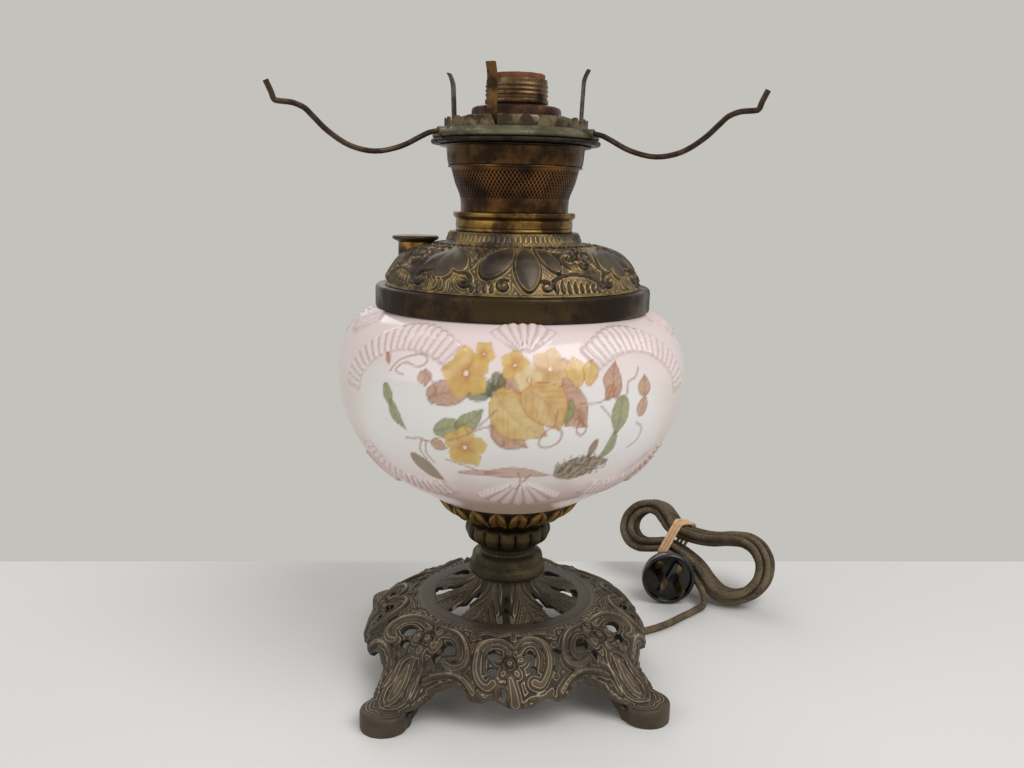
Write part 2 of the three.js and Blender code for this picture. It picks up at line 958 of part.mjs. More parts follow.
const shellShares = [
  [0.97, 0],
  [0.992, 0.42],
  [1, 0.82],
];

function burnerShell() {
  const outer = scaled(shellShares, shellRadius, shellHeight, shellFoot);
  const top = shellFoot + shellHeight;
  const inner = outer.map(([radius, height]) => [radius - sheetWall, height]);
  const lip = [[shellLip, top - sheetWall], [shellLip, top], [shellRadius - sheetWall, top]];
  return spun([...outer, ...lip, ...inner.reverse()], middleFacets);
}

function chimneySeat() {
  const top = galleryFoot + seatHeight;
  return spun(
    [
      [seatRadius - sheetWall, galleryFoot],
      [seatRadius, galleryFoot],
      [seatRadius, top - sheetWall],
      [seatRadius - sheetWall, top],
      [discHole, top],
      [discHole, top - sheetWall],
      [seatRadius - sheetWall, top - sheetWall],
    ],
    middleFacets,
  );
}

// The teeth are cut from one band: four columns a tooth, low, high, high, low.
function coronet() {
  const low = galleryFoot + coronetHeight - toothHeight;
  const high = galleryFoot + coronetHeight;
  const columnShares = [0.18, 0.32, 0.68, 0.82];
  const rings = [];
  for (let tooth = 0; tooth < toothCount; tooth += 1) {
    columnShares.forEach((share, i) => {
      const turn = (2 * Math.PI * (tooth + share)) / toothCount;
      const top = i === 1 || i === 2 ? high : low;
      const inner = coronetRadius - coronetWall;
      rings.push([
        around(inner, turn, galleryFoot),
        around(coronetRadius, turn, galleryFoot),
        around(coronetRadius, turn, top),
        around(inner, turn, top),
      ]);
    });
  }
  return closedGrid(rings);
}

place("burner_basket", basket(), brownBrass);
place("burner_shell", burnerShell(), brownBrass);
place("burner_disc", burnerDisc(), darkBrass);
place("chimney_seat", chimneySeat(), paleTin);
place("coronet", coronet(), paleTin);

// Prongs: flat springs that stand inside the coronet and flare out on top.

const prongShares = [
  [0, 0],
  [0, 0.17],
  [0.18, 0.69],
  [0.33, 0.86],
  [1, 1],
];

function prong() {
  const face = prongShares.map(([out, up]) => [
    prongRadius + out * prongFlare + prongThick / 2,
    galleryFoot + up * prongHeight,
  ]);
  const back = face.map(([out, up]) => [out - prongThick, up]).reverse();
  const strip = prism([...back, ...face], -prongWidth / 2, prongWidth);
  return strip.rotateX(Math.PI / 2).rotateZ(-Math.PI / 2);
}

for (let i = 0; i < prongCount; i += 1) {
  const mesh = place("prong_" + (i + 1), prong(), brownBrass);
  mesh.rotation.z = prongTurn + (2 * Math.PI * i) / prongCount;
}

// Tripod: a ring round the coronet with three lugs, and a wire arm in each.

const lugHeight = galleryFoot + lugRadius + seatGap;

function tripodRing() {
  let ring = toSolid(band(tripodInner, tripodOuter, galleryFoot, galleryFoot + tripodHeight, wideFacets));
  for (let i = 0; i < armCount; i += 1) {
    const turn = armTurn + (2 * Math.PI * i) / armCount;
    const start = (tripodInner + tripodOuter) / 2;
    const hole = wireRadius + seatGap;
    const barrel = new THREE.CylinderGeometry(lugRadius, lugRadius, lugLength, leadSides);
    const bore = new THREE.CylinderGeometry(hole, hole, lugLength, leadSides);
    barrel.translate(0, -(start + lugLength / 2), 0);
    bore.translate(0, -(tripodOuter + lugLength / 2 + seatGap), 0);
    for (const piece of [barrel, bore]) piece.rotateZ(turn).translate(0, 0, lugHeight);
    ring = ring.add(toSolid(barrel)).subtract(toSolid(bore));
  }
  return toGeometry(ring);
}

// A wire arm runs out of its lug, dips, rises to the shade's seat and turns up:
// shares of the way out from the lug, and of the drop.
const armShares = [
  [0, 0],
  [0.0434, 0],
  [0.1014, -0.1],
  [0.155, -0.3],
  [0.2724, -0.75],
  [0.4174, -1],
  [0.558, -0.82],
  [0.6783, -0.28],
  [0.7609, 0.3],
  [0.8043, 0.6],
  [0.8652, 0.77],
  [0.9348, 0.8],
  [0.9594, 0.86],
  [0.9739, 1.15],
  [1, 1.58],
];

function arm(turn) {
  const start = tripodOuter + 2 * seatGap;
  const points = armShares.map(([out, up]) => {
    const radius = THREE.MathUtils.lerp(start, armReach, out);
    return new THREE.Vector3(...around(radius, turn, lugHeight + up * armDrop));
  });
  return wire(points, wireRadius, armSides, armSteps);
}

place("shade_ring", tripodRing(), paleTin);
for (let i = 0; i < armCount; i += 1) {
  const turn = armTurn + (2 * Math.PI * i) / armCount;
  place("shade_arm_" + (i + 1), arm(turn), darkBrass);
}

// Adapter over the draft tube, and the socket screwed on it.

function adapter() {
  const hole = nippleRadius + seatGap;
  const under = adapterTop - adapterWall;
  const round = adapterWall;
  return spun(
    [
      [adapterRadius - adapterWall, adapterFoot],
      [adapterRadius, adapterFoot],
      [adapterRadius, adapterTop - round],
      [adapterRadius - round, adapterTop],
      [hole, adapterTop],
      [hole, under],
      [adapterRadius - adapterWall, under],
    ],
    middleFacets,
  );
}

const socketFloor = socketFoot + socketWall;
const nippleTop = socketFloor;
const linerOuter = socketRadius - socketWall - seatGap;
const linerInner = linerOuter - linerWall;
const insulatorFoot = socketFloor + seatGap;
const insulatorTop = insulatorFoot + insulatorThick;
const shellOuter = linerInner - seatGap;
const contactFoot = insulatorTop + seatGap;
const socketShellFoot = socketFoot + socketCapHeight + seatGap;

function socketCap() {
  const hole = nippleRadius + seatGap;
  const top = socketFoot + socketCapHeight;
  return spun(
    [
      [hole, socketFoot],
      [socketRadius - socketWall, socketFoot],
      [socketRim, socketFoot + socketCapHeight * 0.55],
      [socketRim, top],
      [linerOuter + seatGap, top],
      [linerOuter + seatGap, socketFloor],
      [hole, socketFloor],
    ],
    middleFacets,
  );
}

// A thread as rounded ridges between two heights, at a step of its own.
function ridges(radius, depth, foot, step, count) {
  const line = [];
  for (let i = 0; i < count; i += 1) {
    line.push([radius, foot + i * step]);
    line.push([radius + depth, foot + (i + 0.5) * step]);
  }
  line.push([radius, foot + count * step]);
  return line;
}

function socketShell() {
  const top = socketShellFoot + socketHeight;
  const step = (socketHeight * 0.66) / threadCount;
  const threads = ridges(socketRadius, threadDepth, socketShellFoot + step / 2, step, threadCount);
  const inner = socketRadius - socketWall;
  return spun(
    [
      [inner, socketShellFoot],
      [socketRadius, socketShellFoot],
      ...threads,
      [socketRadius, top],
      [inner, top],
    ],
    middleFacets,
  );
}

function screwShell() {
  const foot = contactFoot;
  const step = screwShellHeight / threadCount;
  const outer = ridges(shellOuter - threadDepth, threadDepth, foot, step, threadCount);
  const bore = shellOuter - threadDepth - screwShellWall;
  return spun([...outer, [bore, foot + screwShellHeight], [bore, foot]], smallFacets);
}

const nippleFoot = nippleTop - nippleLength;
place("adapter_disc", adapter(), copper);
place("socket_nipple", band(rodBore, nippleRadius, nippleFoot, nippleTop, smallFacets), steel);
place("socket_cap", socketCap(), agedBrass);
const linerTop = insulatorFoot + linerHeight;
place("socket_insulator", disc(linerInner - seatGap, 1, insulatorFoot, insulatorTop), porcelain);
place("socket_liner", band(linerInner, linerOuter, insulatorFoot, linerTop, smallFacets), fibre);
place("socket_shell", socketShell(), agedBrass);
place("screw_shell", screwShell(), agedBrass);
const contactTop = contactFoot + contactThick;
place("centre_contact", disc(contactRadius, headShare, contactFoot, contactTop), agedBrass);

const terminalPlace = (contactRadius + shellOuter) / 2;
for (const [i, side] of [-1, 1].entries()) {
  const head = disc(terminalRadius, headShare, contactFoot, contactFoot + terminalHeight);
  place("terminal_screw_" + (i + 1), head.translate(side * terminalPlace, 0, 0), agedBrass);
}

// The cord inside the lamp, from the bush up to the socket.
const innerTop = insulatorFoot - seatGap;
place("inner_cord", band(0, cordRadius, bushFoot, innerTop, leadSides), cordCover);

// Hank: its outline is made of arcs that touch, a round lobe at each end and
// hollow flanks between them, and its loops are that outline grown outwards.

const layerCount = hankTurns / layerTurns;
const hankPlace = [148.9, 82.7, 25.7];
const facing = new THREE.Vector3(Math.cos(hankFacing), -Math.sin(hankFacing), 0);
const leaning = new THREE.Vector3(
  Math.sin(hankFacing) * Math.sin(hankLean),
  Math.cos(hankFacing) * Math.sin(hankLean),
  Math.cos(hankLean),
);
const square = facing.clone().cross(leaning);
const runAxis = facing.clone().applyAxisAngle(square, -hankTilt);
const riseAxis = leaning.clone().applyAxisAngle(square, -hankTilt);
const layerShift = leaning
  .clone()
  .multiplyScalar(layerRise)
  .addScaledVector(square, -layerStep);

// The radius of the hollow flank between the waist and a lobe.
function flankRadius(reach, lobe) {
  return (reach ** 2 + waistHalf ** 2 - lobe ** 2) / (2 * (lobe - waistHalf));
}

// The loop without its growth: places and outward directions, clockwise from
// the lower end of the right lobe. An arc is given by its middle, its radius,
// its first and last angle and its steps. A hollow arc has its outside within.
function hankOutline() {
  const rightFlank = flankRadius(rightReach, rightLobe);
  const leftFlank = flankRadius(leftReach, leftLobe);
  const right = Math.atan2(rightReach, rightFlank + waistHalf);
  const left = Math.atan2(leftReach, leftFlank + waistHalf);
  const up = Math.PI / 2;
  const low = -(rightFlank + waistHalf);
  const leftLow = -(leftFlank + waistHalf);
  const arcs = [
    [0, low, rightFlank, up - right, up, 3, -1],
    [0, leftLow, leftFlank, up, up + left, 2, -1],
    [-leftReach, 0, leftLobe, left - up, -left - 3 * up, 7, 1],
    [0, -leftLow, leftFlank, -up - left, -up, 2, -1],
    [0, -low, rightFlank, -up, right - up, 3, -1],
    [rightReach, 0, rightLobe, up + right, -up - right, 7, 1],
  ];
  return arcs.flatMap(([x, y, radius, from, to, steps, side]) =>
    Array.from({ length: steps }, (none, i) => {
      const turn = THREE.MathUtils.lerp(from, to, i / steps);
      const out = [Math.cos(turn), Math.sin(turn)];
      return { x: x + radius * out[0], y: y + radius * out[1], out: out.map((v) => v * side) };
    }),
  );
}

// A place in the hank: along its length, up its height and back by layers.
function hankPoint(x, y, layer) {
  return new THREE.Vector3(...hankPlace)
    .addScaledVector(runAxis, x - rightReach)
    .addScaledVector(riseAxis, y)
    .addScaledVector(layerShift, layer);
}

// The growth of the loop, and its layer, after a number of turns: in and out
// again, with a climb to the next layer in the half turn round each reversal.
function windingAt(turn) {
  const leg = Math.floor(turn / layerTurns);
  const within = turn / layerTurns - leg;
  const growth = turnStep * layerTurns * (leg % 2 === 0 ? 1 - within : within);
  const nearest = Math.round(turn / layerTurns);
  const inner = nearest > 0 && nearest < layerCount;
  const past = turn - nearest * layerTurns;
  const climb = THREE.MathUtils.smoothstep(past, -climbTurn, climbTurn);
  return { growth, layer: inner ? nearest - 1 + climb : Math.min(leg, layerCount - 1) };
}

function hankLine() {
  const outline = hankOutline();
  const stations = [];
  for (let i = 0; i <= hankTurns * outline.length; i += 1) {
    const { x, y, out } = outline[i % outline.length];
    const { growth, layer } = windingAt(i / outline.length);
    const point = hankPoint(x + growth * out[0], y + growth * out[1], layer);
    const outward = runAxis.clone().multiplyScalar(out[0]).addScaledVector(riseAxis, out[1]);
    stations.push({ point, outward });
  }
  const ends = [
    [stations[0], stations[1]],
    [stations.at(-1), stations.at(-2)],
  ].map(([end, next]) => {
    const run = end.outward.clone().cross(square).normalize();
    if (run.dot(next.point.clone().sub(end.point)) > 0) run.negate();
    return { point: end.point.clone().addScaledVector(run, 2 * cordRadius), outward: end.outward, run };
  });
  return [ends[0], ...stations, ends[1]];
}

// A tube through stations, each with its outward direction, closed at the ends.
function stationTube(stations, radius, sides) {
  const points = [];
  const faces = [];
  const last = stations.length - 1;
  stations.forEach(({ point, outward }, i) => {
    const from = stations[Math.max(i - 1, 0)].point;
    const to = stations[Math.min(i + 1, last)].point;
    const run = to.clone().sub(from).normalize();
    const out = outward.clone().addScaledVector(run, -outward.dot(run)).normalize();
    const side = run.clone().cross(out);
    for (let j = 0; j < sides; j += 1) {
      const turn = (2 * Math.PI * j) / sides;
      const corner = point
        .clone()
        .addScaledVector(out, radius * Math.cos(turn))
        .addScaledVector(side, radius * Math.sin(turn));
      points.push(...corner.toArray());
    }
  });
  for (let i = 0; i < last; i += 1) {
    for (let j = 0; j < sides; j += 1) {
      const a = i * sides + j;
      const b = i * sides + ((j + 1) % sides);
      faces.push(a, b, b + sides, a, b + sides, a + sides);
    }
  }
  const end = last * sides;
  for (let j = 1; j < sides - 1; j += 1) {
    faces.push(0, j + 1, j, end, end + j, end + j + 1);
  }
  const geometry = new THREE.BufferGeometry();
  geometry.setAttribute("position", new THREE.Float32BufferAttribute(points, 3));
  geometry.setIndex(faces);
  return geometry;
}

// The least gap between stretches of the hank that are not neighbours.
function leastGap(stations) {
  const samples = [];
  for (let i = 1; i < stations.length; i += 1) {
    for (let j = 0; j < gapSamples; j += 1) {
      samples.push(stations[i - 1].point.clone().lerp(stations[i].point, j / gapSamples));
    }
  }
  const apart = stationsApart * gapSamples;
  let least = Infinity;
  for (let i = 0; i < samples.length; i += 1) {
    for (let j = i + apart; j < samples.length; j += 1) {
      least = Math.min(least, samples[i].distanceTo(samples[j]));
    }
  }
  return least - 2 * cordRadius;
}

const hank = hankLine();
console.log("least gap of the hank to itself, mm:", leastGap(hank).toFixed(2));
place("cord_hank", stationTube(hank, cordRadius, hankSides), cordCover);

// Tie: a rubber band round the waist, as an outline drawn round the strands in
// the four corners and drawn out along the hank.

function roundedOutline(corners, radius) {
  const count = corners.length;
  const points = [];
  corners.forEach((corner, i) => {
    const before = corners[(i + count - 1) % count];
    const after = corners[(i + 1) % count];
    const first = Math.atan2(corner[1] - before[1], corner[0] - before[0]) - Math.PI / 2;
    const second = Math.atan2(after[1] - corner[1], after[0] - corner[0]) - Math.PI / 2;
    const sweep = THREE.MathUtils.euclideanModulo(second - first, 2 * Math.PI);
    for (let j = 0; j <= cornerSteps; j += 1) {
      const turn = first + (sweep * j) / cornerSteps;
      points.push(
        new THREE.Vector2(corner[0] + radius * Math.cos(turn), corner[1] + radius * Math.sin(turn)),
      );
    }
  });
  return points;
}

function tie() {
  const low = -waistHalf - windingAt(tieTurn).growth;
  const high = waistHalf + windingAt(layerTurns + 1).growth + turnStep * tieTurn;
  const back = (layerCount - 1) * layerShift.dot(square);
  const rise = (layerCount - 1) * layerShift.dot(riseAxis);
  const corners = [
    [low, 0],
    [low + rise, back],
    [high + rise, back],
    [high, 0],
  ];
  const inner = cordRadius + tieClear;
  const shape = new THREE.Shape(roundedOutline(corners, inner + tieThick));
  shape.holes.push(new THREE.Path(roundedOutline(corners, inner).reverse()));
  const made = new THREE.ExtrudeGeometry(shape, { depth: tieWidth, bevelEnabled: false });
  const along = ((layerCount - 1) / 2) * layerShift.dot(runAxis) - tieWidth / 2;
  made.translate(0, 0, along);
  made.applyMatrix4(new THREE.Matrix4().makeBasis(riseAxis, square, runAxis));
  return made.translate(...hankPoint(0, 0, 0).toArray());
}

place("hank_tie", tie(), rubberBand);

// Plug: a round body that lies on its rim, open in front, with a blade and a
// screw for each wire.

const plug = new THREE.Group();
plug.position.set(plugRight, plugBehind, plugRadius + seatGap);
lamp.add(plug);

const plugShares = [
  [1, 0],
  [1, 0.34],
  [0.96, 0.41],
  [0.83, 0.43],
  [0.76, 0.62],
  [0.58, 0.85],
  [0.343, 1],
];

function plugBody() {
  const outer = scaled(plugShares, plugRadius, plugDepth, 0);
  const inner = plugRadius - plugWall;
  const rounded = [[plugRadius - plugWall / 2, 0], ...outer.slice(1)];
  rounded.splice(1, 0, [plugRadius, plugWall / 2]);
  const recess = [[0, plugRecess], [inner, plugRecess], [inner, 0]];
  const body = spun([...recess, ...rounded, [0, plugDepth]], middleFacets);
  return body.rotateX(-Math.PI / 2);
}

// Places of the blades and screws on the recess's floor, as shares of the
// plug's radius: to the right and up.
const plugScrewShares = [
  [-0.36, 0.51],
  [0.35, 0.35],
];

place("plug_body", plugBody(), plugBlack, plug);
const rootDepth = plugRecess - seatGap;
for (const [i, side] of [-1, 1].entries()) {
  const reach = bladeLength + rootDepth;
  const blade = new THREE.BoxGeometry(bladeThick, reach, bladeWidth);
  blade.translate((side * bladeSpacing) / 2, rootDepth - reach / 2, 0);
  place("plug_blade_" + (i + 1), blade.rotateY(-bladeTurn), agedBrass, plug);
  const [right, up] = plugScrewShares[i];
  const screw = disc(plugScrewRadius, headShare, 0, plugScrewHeight).rotateX(Math.PI / 2);
  screw.translate(right * plugRadius, rootDepth, up * plugRadius);
  place("plug_screw_" + (i + 1), screw, agedBrass, plug);
}

// The cord's free stretches: from the bush under the base to the hank, and
// from the hank back into the plug.

function lead(points, steps) {
  const line = points.map((point) => new THREE.Vector3(...point));
  return wire(line, cordRadius, leadSides, steps);
}

function hankEnd(station, away) {
  return station.point.clone().addScaledVector(station.run, away).toArray();
}

const leadRoute = [
  [0, 0, bushFoot - seatGap],
  [0, 0, bushFoot - seatGap - 2 * cordRadius],
  [1.9, 0.7, 17],
  [7.6, 3, 8.8],
  [17.5, 6.9, 3.9],
  [30, 11.7, 2.4],
  [48, 18.7, 2.4],
  [66, 25.8, 2.4],
  [85.4, 33.8, 2.4],
  [101, 44, 2.4],
  [113, 55.5, 2.4],
  [124, 66, 2.6],
  [130.6, 72.6, 4.2],
  hankEnd(hank[0], 2 * cordRadius),
  hankEnd(hank[0], seatGap),
];
const tailRoute = [
  hankEnd(hank.at(-1), seatGap),
  hankEnd(hank.at(-1), 2 * cordRadius),
  [127.5, 112.6, 13.8],
  [120.5, 115.5, 11.4],
  [113.4, 113.5, 13.2],
  [108.9, 108.2, 16.6],
  [plugRight, plugBehind + plugDepth + 2 * cordRadius, plugRadius + seatGap],
  [plugRight, plugBehind + plugDepth + seatGap, plugRadius + seatGap],
];
place("cord_lead", lead(leadRoute, leadSteps), cordCover);
place("cord_tail", lead(tailRoute, tailSteps), cordCover);

export default lamp;
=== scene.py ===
import math

import bmesh
import bpy
from mathutils import Matrix, Vector, kdtree, noise


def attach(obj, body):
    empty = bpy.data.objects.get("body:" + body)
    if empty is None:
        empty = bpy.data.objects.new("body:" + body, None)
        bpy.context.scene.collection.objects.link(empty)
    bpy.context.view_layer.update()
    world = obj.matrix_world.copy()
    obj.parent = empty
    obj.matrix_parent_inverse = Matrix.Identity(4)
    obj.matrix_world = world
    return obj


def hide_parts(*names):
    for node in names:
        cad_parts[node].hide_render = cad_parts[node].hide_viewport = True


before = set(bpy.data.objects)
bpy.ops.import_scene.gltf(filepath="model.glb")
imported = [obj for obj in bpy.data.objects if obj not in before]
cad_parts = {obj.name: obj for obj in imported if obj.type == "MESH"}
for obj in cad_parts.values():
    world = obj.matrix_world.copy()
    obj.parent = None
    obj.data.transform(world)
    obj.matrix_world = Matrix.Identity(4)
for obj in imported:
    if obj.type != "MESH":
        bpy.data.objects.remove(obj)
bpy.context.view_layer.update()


# Camera: it stands half a metre in front of the lamp at four fifths of its
# height, looks down by some eleven degrees and is held a little askew.

focal_share = 941 / 1024
camera_place = (0.00066, -0.5299, 0.26565)
look_down = math.radians(11.26)
askew = math.radians(1.20)


def stand(name, data):
    """A new object in the scene that holds some data."""
    item = bpy.data.objects.new(name, data)
    bpy.context.scene.collection.objects.link(item)
    return item


camera_data = bpy.data.cameras.new("camera")
camera_data.sensor_width = 36
camera_data.lens = camera_data.sensor_width * focal_share
camera_data.clip_start = 0.01
camera = stand("camera", camera_data)
camera.matrix_world = (
    Matrix.Translation(camera_place)
    @ Matrix.Rotation(math.pi / 2 - look_down, 4, "X")
    @ Matrix.Rotation(askew, 4, "Z")
)
bpy.context.scene.camera = camera
bpy.context.scene.view_settings.view_transform = "Standard"


# Table and light: a white table top that ends a little way behind the lamp, a
# pale wall beyond it that is only seen, a large soft light from the right above
# the camera and weaker ones from the left and from behind.

table_radius, table_end, table_slant, table_edge = 2.2, 0.1286, 0.055, 0.002
room_light = 0.62
light_size, light_aim = 1.1, Vector((0, 0, 0.16))


def ink(code):
    """The colour of a code of three pairs of digits, in plain light."""
    pairs = [int(code[at:at + 2], 16) / 255 for at in (0, 2, 4)]
    return tuple(part / 12.92 if part < 0.04 else ((part + 0.055) / 1.055) ** 2.4 for part in pairs)


class Tone:
    """A socket in a finish. Sums and products written on it add their nodes."""

    def __init__(self, tree, socket=None):
        self.tree = tree
        self.socket = socket

    def node(self, kind, settings, sockets, out=0):
        """Adds a node, sets it, fills or joins its sockets and gives one of its outputs."""
        made = self.tree.nodes.new("ShaderNode" + kind)
        for name, value in settings.items():
            setattr(made, name, value)
        for name, value in sockets.items():
            if isinstance(value, Tone):
                self.tree.links.new(value.socket, made.inputs[name])
            else:
                made.inputs[name].default_value = value
        return Tone(self.tree, made.outputs[out])

    def maths(self, operation, *values):
        return self.node("Math", {"operation": operation}, dict(enumerate(values)))

    def __add__(self, other):
        return self.maths("ADD", self, other)

    def __sub__(self, other):
        return self.maths("SUBTRACT", self, other)

    def __rsub__(self, other):
        return self.maths("SUBTRACT", other, self)

    def __mul__(self, other):
        return self.maths("MULTIPLY", self, other)

    __radd__ = __add__
    __rmul__ = __mul__

    def between(self, low, high):
        """0 below the lower value, 1 above the higher one, and smooth between them."""
        sockets = {"Value": self, "From Min": low, "From Max": high}
        return self.node("MapRange", {"interpolation_type": "SMOOTHSTEP"}, sockets)

    def blend(self, first, second):
        """The first colour where this is 0 and the second where it is 1."""
        colours = [(*c, 1) if isinstance(c, tuple) else c for c in (first, second)]
        return self.node("Mix", {"data_type": "RGBA"}, {0: self, 6: colours[0], 7: colours[1]}, 2)

    def place(self, axis=None):
        """The piece's own coordinates, or the one along an axis."""
        spot = self.node("TexCoord", {}, {}, "Object")
        return spot if axis is None else self.node("SeparateXYZ", {}, {0: spot}, axis)

    def cloud(self, scale, detail=3.0, rough=0.5):
        """Cloudy noise in the piece's own coordinates."""
        sockets = {"Vector": self.place(), "Scale": scale, "Detail": detail, "Roughness": rough}
        return self.node("TexNoise", {}, sockets)

    def mark(self, name, out="Fac"):
        """What the mesh itself holds under a name at each point."""
        return self.node("Attribute", {"attribute_name": name}, {}, out)

    def bump(self, strength, distance):
        """Lets this stand out of the surface."""
        sockets = {"Strength": strength, "Distance": distance, "Height": self}
        self.node("Bump", {}, sockets).into("Normal")

    def into(self, name):
        """Leads this to a socket of the finish's shader."""
        self.tree.links.new(self.socket, self.tree.nodes["Principled BSDF"].inputs[name])


def finish(name, **plain):
    """A new finish with plain values on its shader, and the start of its patterns."""
    material = bpy.data.materials.new(name)
    material.use_nodes = True
    sockets = material.node_tree.nodes["Principled BSDF"].inputs
    for socket, value in plain.items():
        value = (*value, 1) if isinstance(value, tuple) else value
        sockets[socket.replace("_", " ")].default_value = value
    return material, Tone(material.node_tree)


def seen(tone):
    """1 for rays that come straight from the camera, or by way of metal or glass."""
    names = ("Is Camera Ray", "Is Glossy Ray", "Is Transmission Ray")
    camera_ray, glossy_ray, through_ray = [tone.node("LightPath", {}, {}, name) for name in names]
    return (camera_ray + glossy_ray + through_ray).between(0, 1)


wall_colour = ink("c3c2bc")
table_finish, tone = finish("white_table", Roughness=0.5, Specular_IOR_Level=0, Emission_Strength=1.0)
beyond = (tone.place(1) - tone.place(0) * table_slant).between(table_end, table_end + table_edge)
wall = beyond * seen(tone)
top = tone.cloud(1.5).between(0.3, 0.75).blend(ink("dcdcda"), ink("e2e2e0"))
wall.blend(top, (0, 0, 0)).into("Base Color")
wall.blend((0, 0, 0), wall_colour).into("Emission Color")

shape = bmesh.new()
bmesh.ops.create_circle(shape, cap_ends=True, segments=64, radius=table_radius)
table_mesh = bpy.data.meshes.new("table")
shape.to_mesh(table_mesh)
shape.free()
table_mesh.materials.append(table_finish)
stand("table", table_mesh)

room = bpy.data.worlds.new("room")
room.use_nodes = True
bpy.context.scene.world = room
ray = seen(Tone(room.node_tree))
shown = ray.blend(ink("dcdad6"), wall_colour)
power = ray * (1 - room_light) + room_light
background = room.node_tree.nodes["Background"].inputs
room.node_tree.links.new(shown.socket, background["Color"])
room.node_tree.links.new(power.socket, background["Strength"])

for name, place, power in (
    ("right_light", (0.75, -0.75, 1.35), 14), ("left_light", (-1.1, -0.7, 0.8), 4.5),
    ("back_light", (-0.3, 1.3, 1.2), 6),
):
    data = bpy.data.lights.new(name, "AREA")
    data.size = light_size
    data.energy = power
    aim = (light_aim - Vector(place)).to_track_quat("-Z", "Y").to_matrix().to_4x4()
    stand(name, data).matrix_world = Matrix.Translation(place) @ aim


# Cord: 1.8 m of round cord with a woven cover. It leaves the hollow rod under
# the base, lies on the table and is wound up in a hank with a rubber band round it.

axis_place = Vector((0, -0.019625, 0))
cord_radius = 0.00225
turn_step, layer_step, layer_rise = 0.0056, 0.0054, 0.002
right_lobe, right_reach = 0.0155, 0.045
left_lobe, left_reach = 0.0105, 0.022
waist_half = 0.0026
hank_turns, layer_turns, layer_change = 6, 1.5, 0.25
hank_place = Vector((0.1489, 0.0827, 0.0257))
hank_facing, hank_lean, hank_tilt = math.radians(30), math.radians(35), math.radians(15)

facing = Vector((math.cos(hank_facing), -math.sin(hank_facing), 0))
leaning = Vector((
    math.sin(hank_facing) * math.sin(hank_lean),
    math.cos(hank_facing) * math.sin(hank_lean),
    math.cos(hank_lean),
))
square = facing.cross(leaning)
tilted = Matrix.Rotation(-hank_tilt, 3, square)
run_axis = tilted @ facing
rise_axis = tilted @ leaning
layer_shift = leaning * layer_rise - square * layer_step


def lerp(low, high, share):
    return low + (high - low) * share


def eased(value, low, high):
    """0 below the lower value, 1 above the higher one, and smooth between them."""
    share = min(max((value - low) / (high - low), 0), 1)
    return share * share * (3 - 2 * share)


def hank_point(x, y, layer):
    """A place in the hank: along its length, up its height and back by layers."""
    return hank_place + run_axis * (x - right_reach) + rise_axis * y + layer_shift * layer


def hank_outline():
    """Places and outward directions of one loop: two lobes and the hollow flanks between them."""
    flanks = [
        (reach**2 + waist_half**2 - lobe**2) / (2 * (lobe - waist_half))
        for reach, lobe in ((right_reach, right_lobe), (left_reach, left_lobe))
    ]
    right = math.atan2(right_reach, flanks[0] + waist_half)
    left = math.atan2(left_reach, flanks[1] + waist_half)
    low, left_low = -(flanks[0] + waist_half), -(flanks[1] + waist_half)
    up = math.pi / 2
    arcs = [
        (0, low, flanks[0], up - right, up, 3, -1),
        (0, left_low, flanks[1], up, up + left, 2, -1),
        (-left_reach, 0, left_lobe, left - up, -left - 3 * up, 7, 1),
        (0, -left_low, flanks[1], -up - left, -up, 2, -1),
        (0, -low, flanks[0], -up, right - up, 3, -1),
        (right_reach, 0, right_lobe, up + right, -up - right, 7, 1),
    ]
    outline = []
    for x, y, radius, start, end, steps, side in arcs:
        for step in range(steps):
            turn = lerp(start, end, step / steps)
            across, rise = math.cos(turn), math.sin(turn)
            outline.append((x + radius * across, y + radius * rise, side * across, side * rise))
    return outline


def winding_at(turn):
    """The growth of the loop, and its layer, after a number of turns."""
    leg = math.floor(turn / layer_turns)
    within = turn / layer_turns - leg
    growth = turn_step * layer_turns * (1 - within if leg % 2 == 0 else within)
    layers = hank_turns / layer_turns
    nearest = math.floor(turn / layer_turns + 0.5)
    climb = eased(turn - nearest * layer_turns, -layer_change, layer_change)
    return growth, nearest - 1 + climb if 0 < nearest < layers else min(leg, layers - 1)


def hank_line():
    """The middle line of the wound cord, with a short straight piece at each end."""
    outline = hank_outline()
    points, outwards = [], []
    for at in range(hank_turns * len(outline) + 1):
        x, y, across, rise = outline[at % len(outline)]
        growth, layer = winding_at(at / len(outline))
        points.append(hank_point(x + growth * across, y + growth * rise, layer))
        outwards.append(run_axis * across + rise_axis * rise)
    ends = []
    for end, following in ((0, 1), (-1, -2)):
        run = outwards[end].cross(square).normalized()
        if run.dot(points[following] - points[end]) > 0:
            run = -run
        ends.append(points[end] + run * 2 * cord_radius)
    return [ends[0], *points, ends[1]]


def ride(item, body, nodes):
    """Lets a piece ride on a body and stand for CAD nodes."""
    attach(item, body)
    if nodes:
        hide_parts(*nodes)
    return item


def wire(name, lines, radius, material, slot, body, *nodes, kind="BEZIER", closed=False, steps=12):
    """A round cord or wire along lines of places, in metres."""
    data = bpy.data.curves.new(name, "CURVE")
    data.dimensions = "3D"
    data.bevel_depth = radius
    data.bevel_resolution = 3
    data.resolution_u = steps
    data.use_fill_caps = not closed
    data.materials.append(material)
    for line in lines:
        spline = data.splines.new(kind)
        beads = spline.bezier_points if kind == "BEZIER" else spline.points
        beads.add(len(line) - 1)
        spline.use_cyclic_u = closed
        for bead, place in zip(beads, line):
            if kind == "BEZIER":
                bead.co = place
                bead.handle_left_type = bead.handle_right_type = "AUTO"
            else:
                bead.co = (*place, 1)
    return ride(stand(name, data), body, nodes)


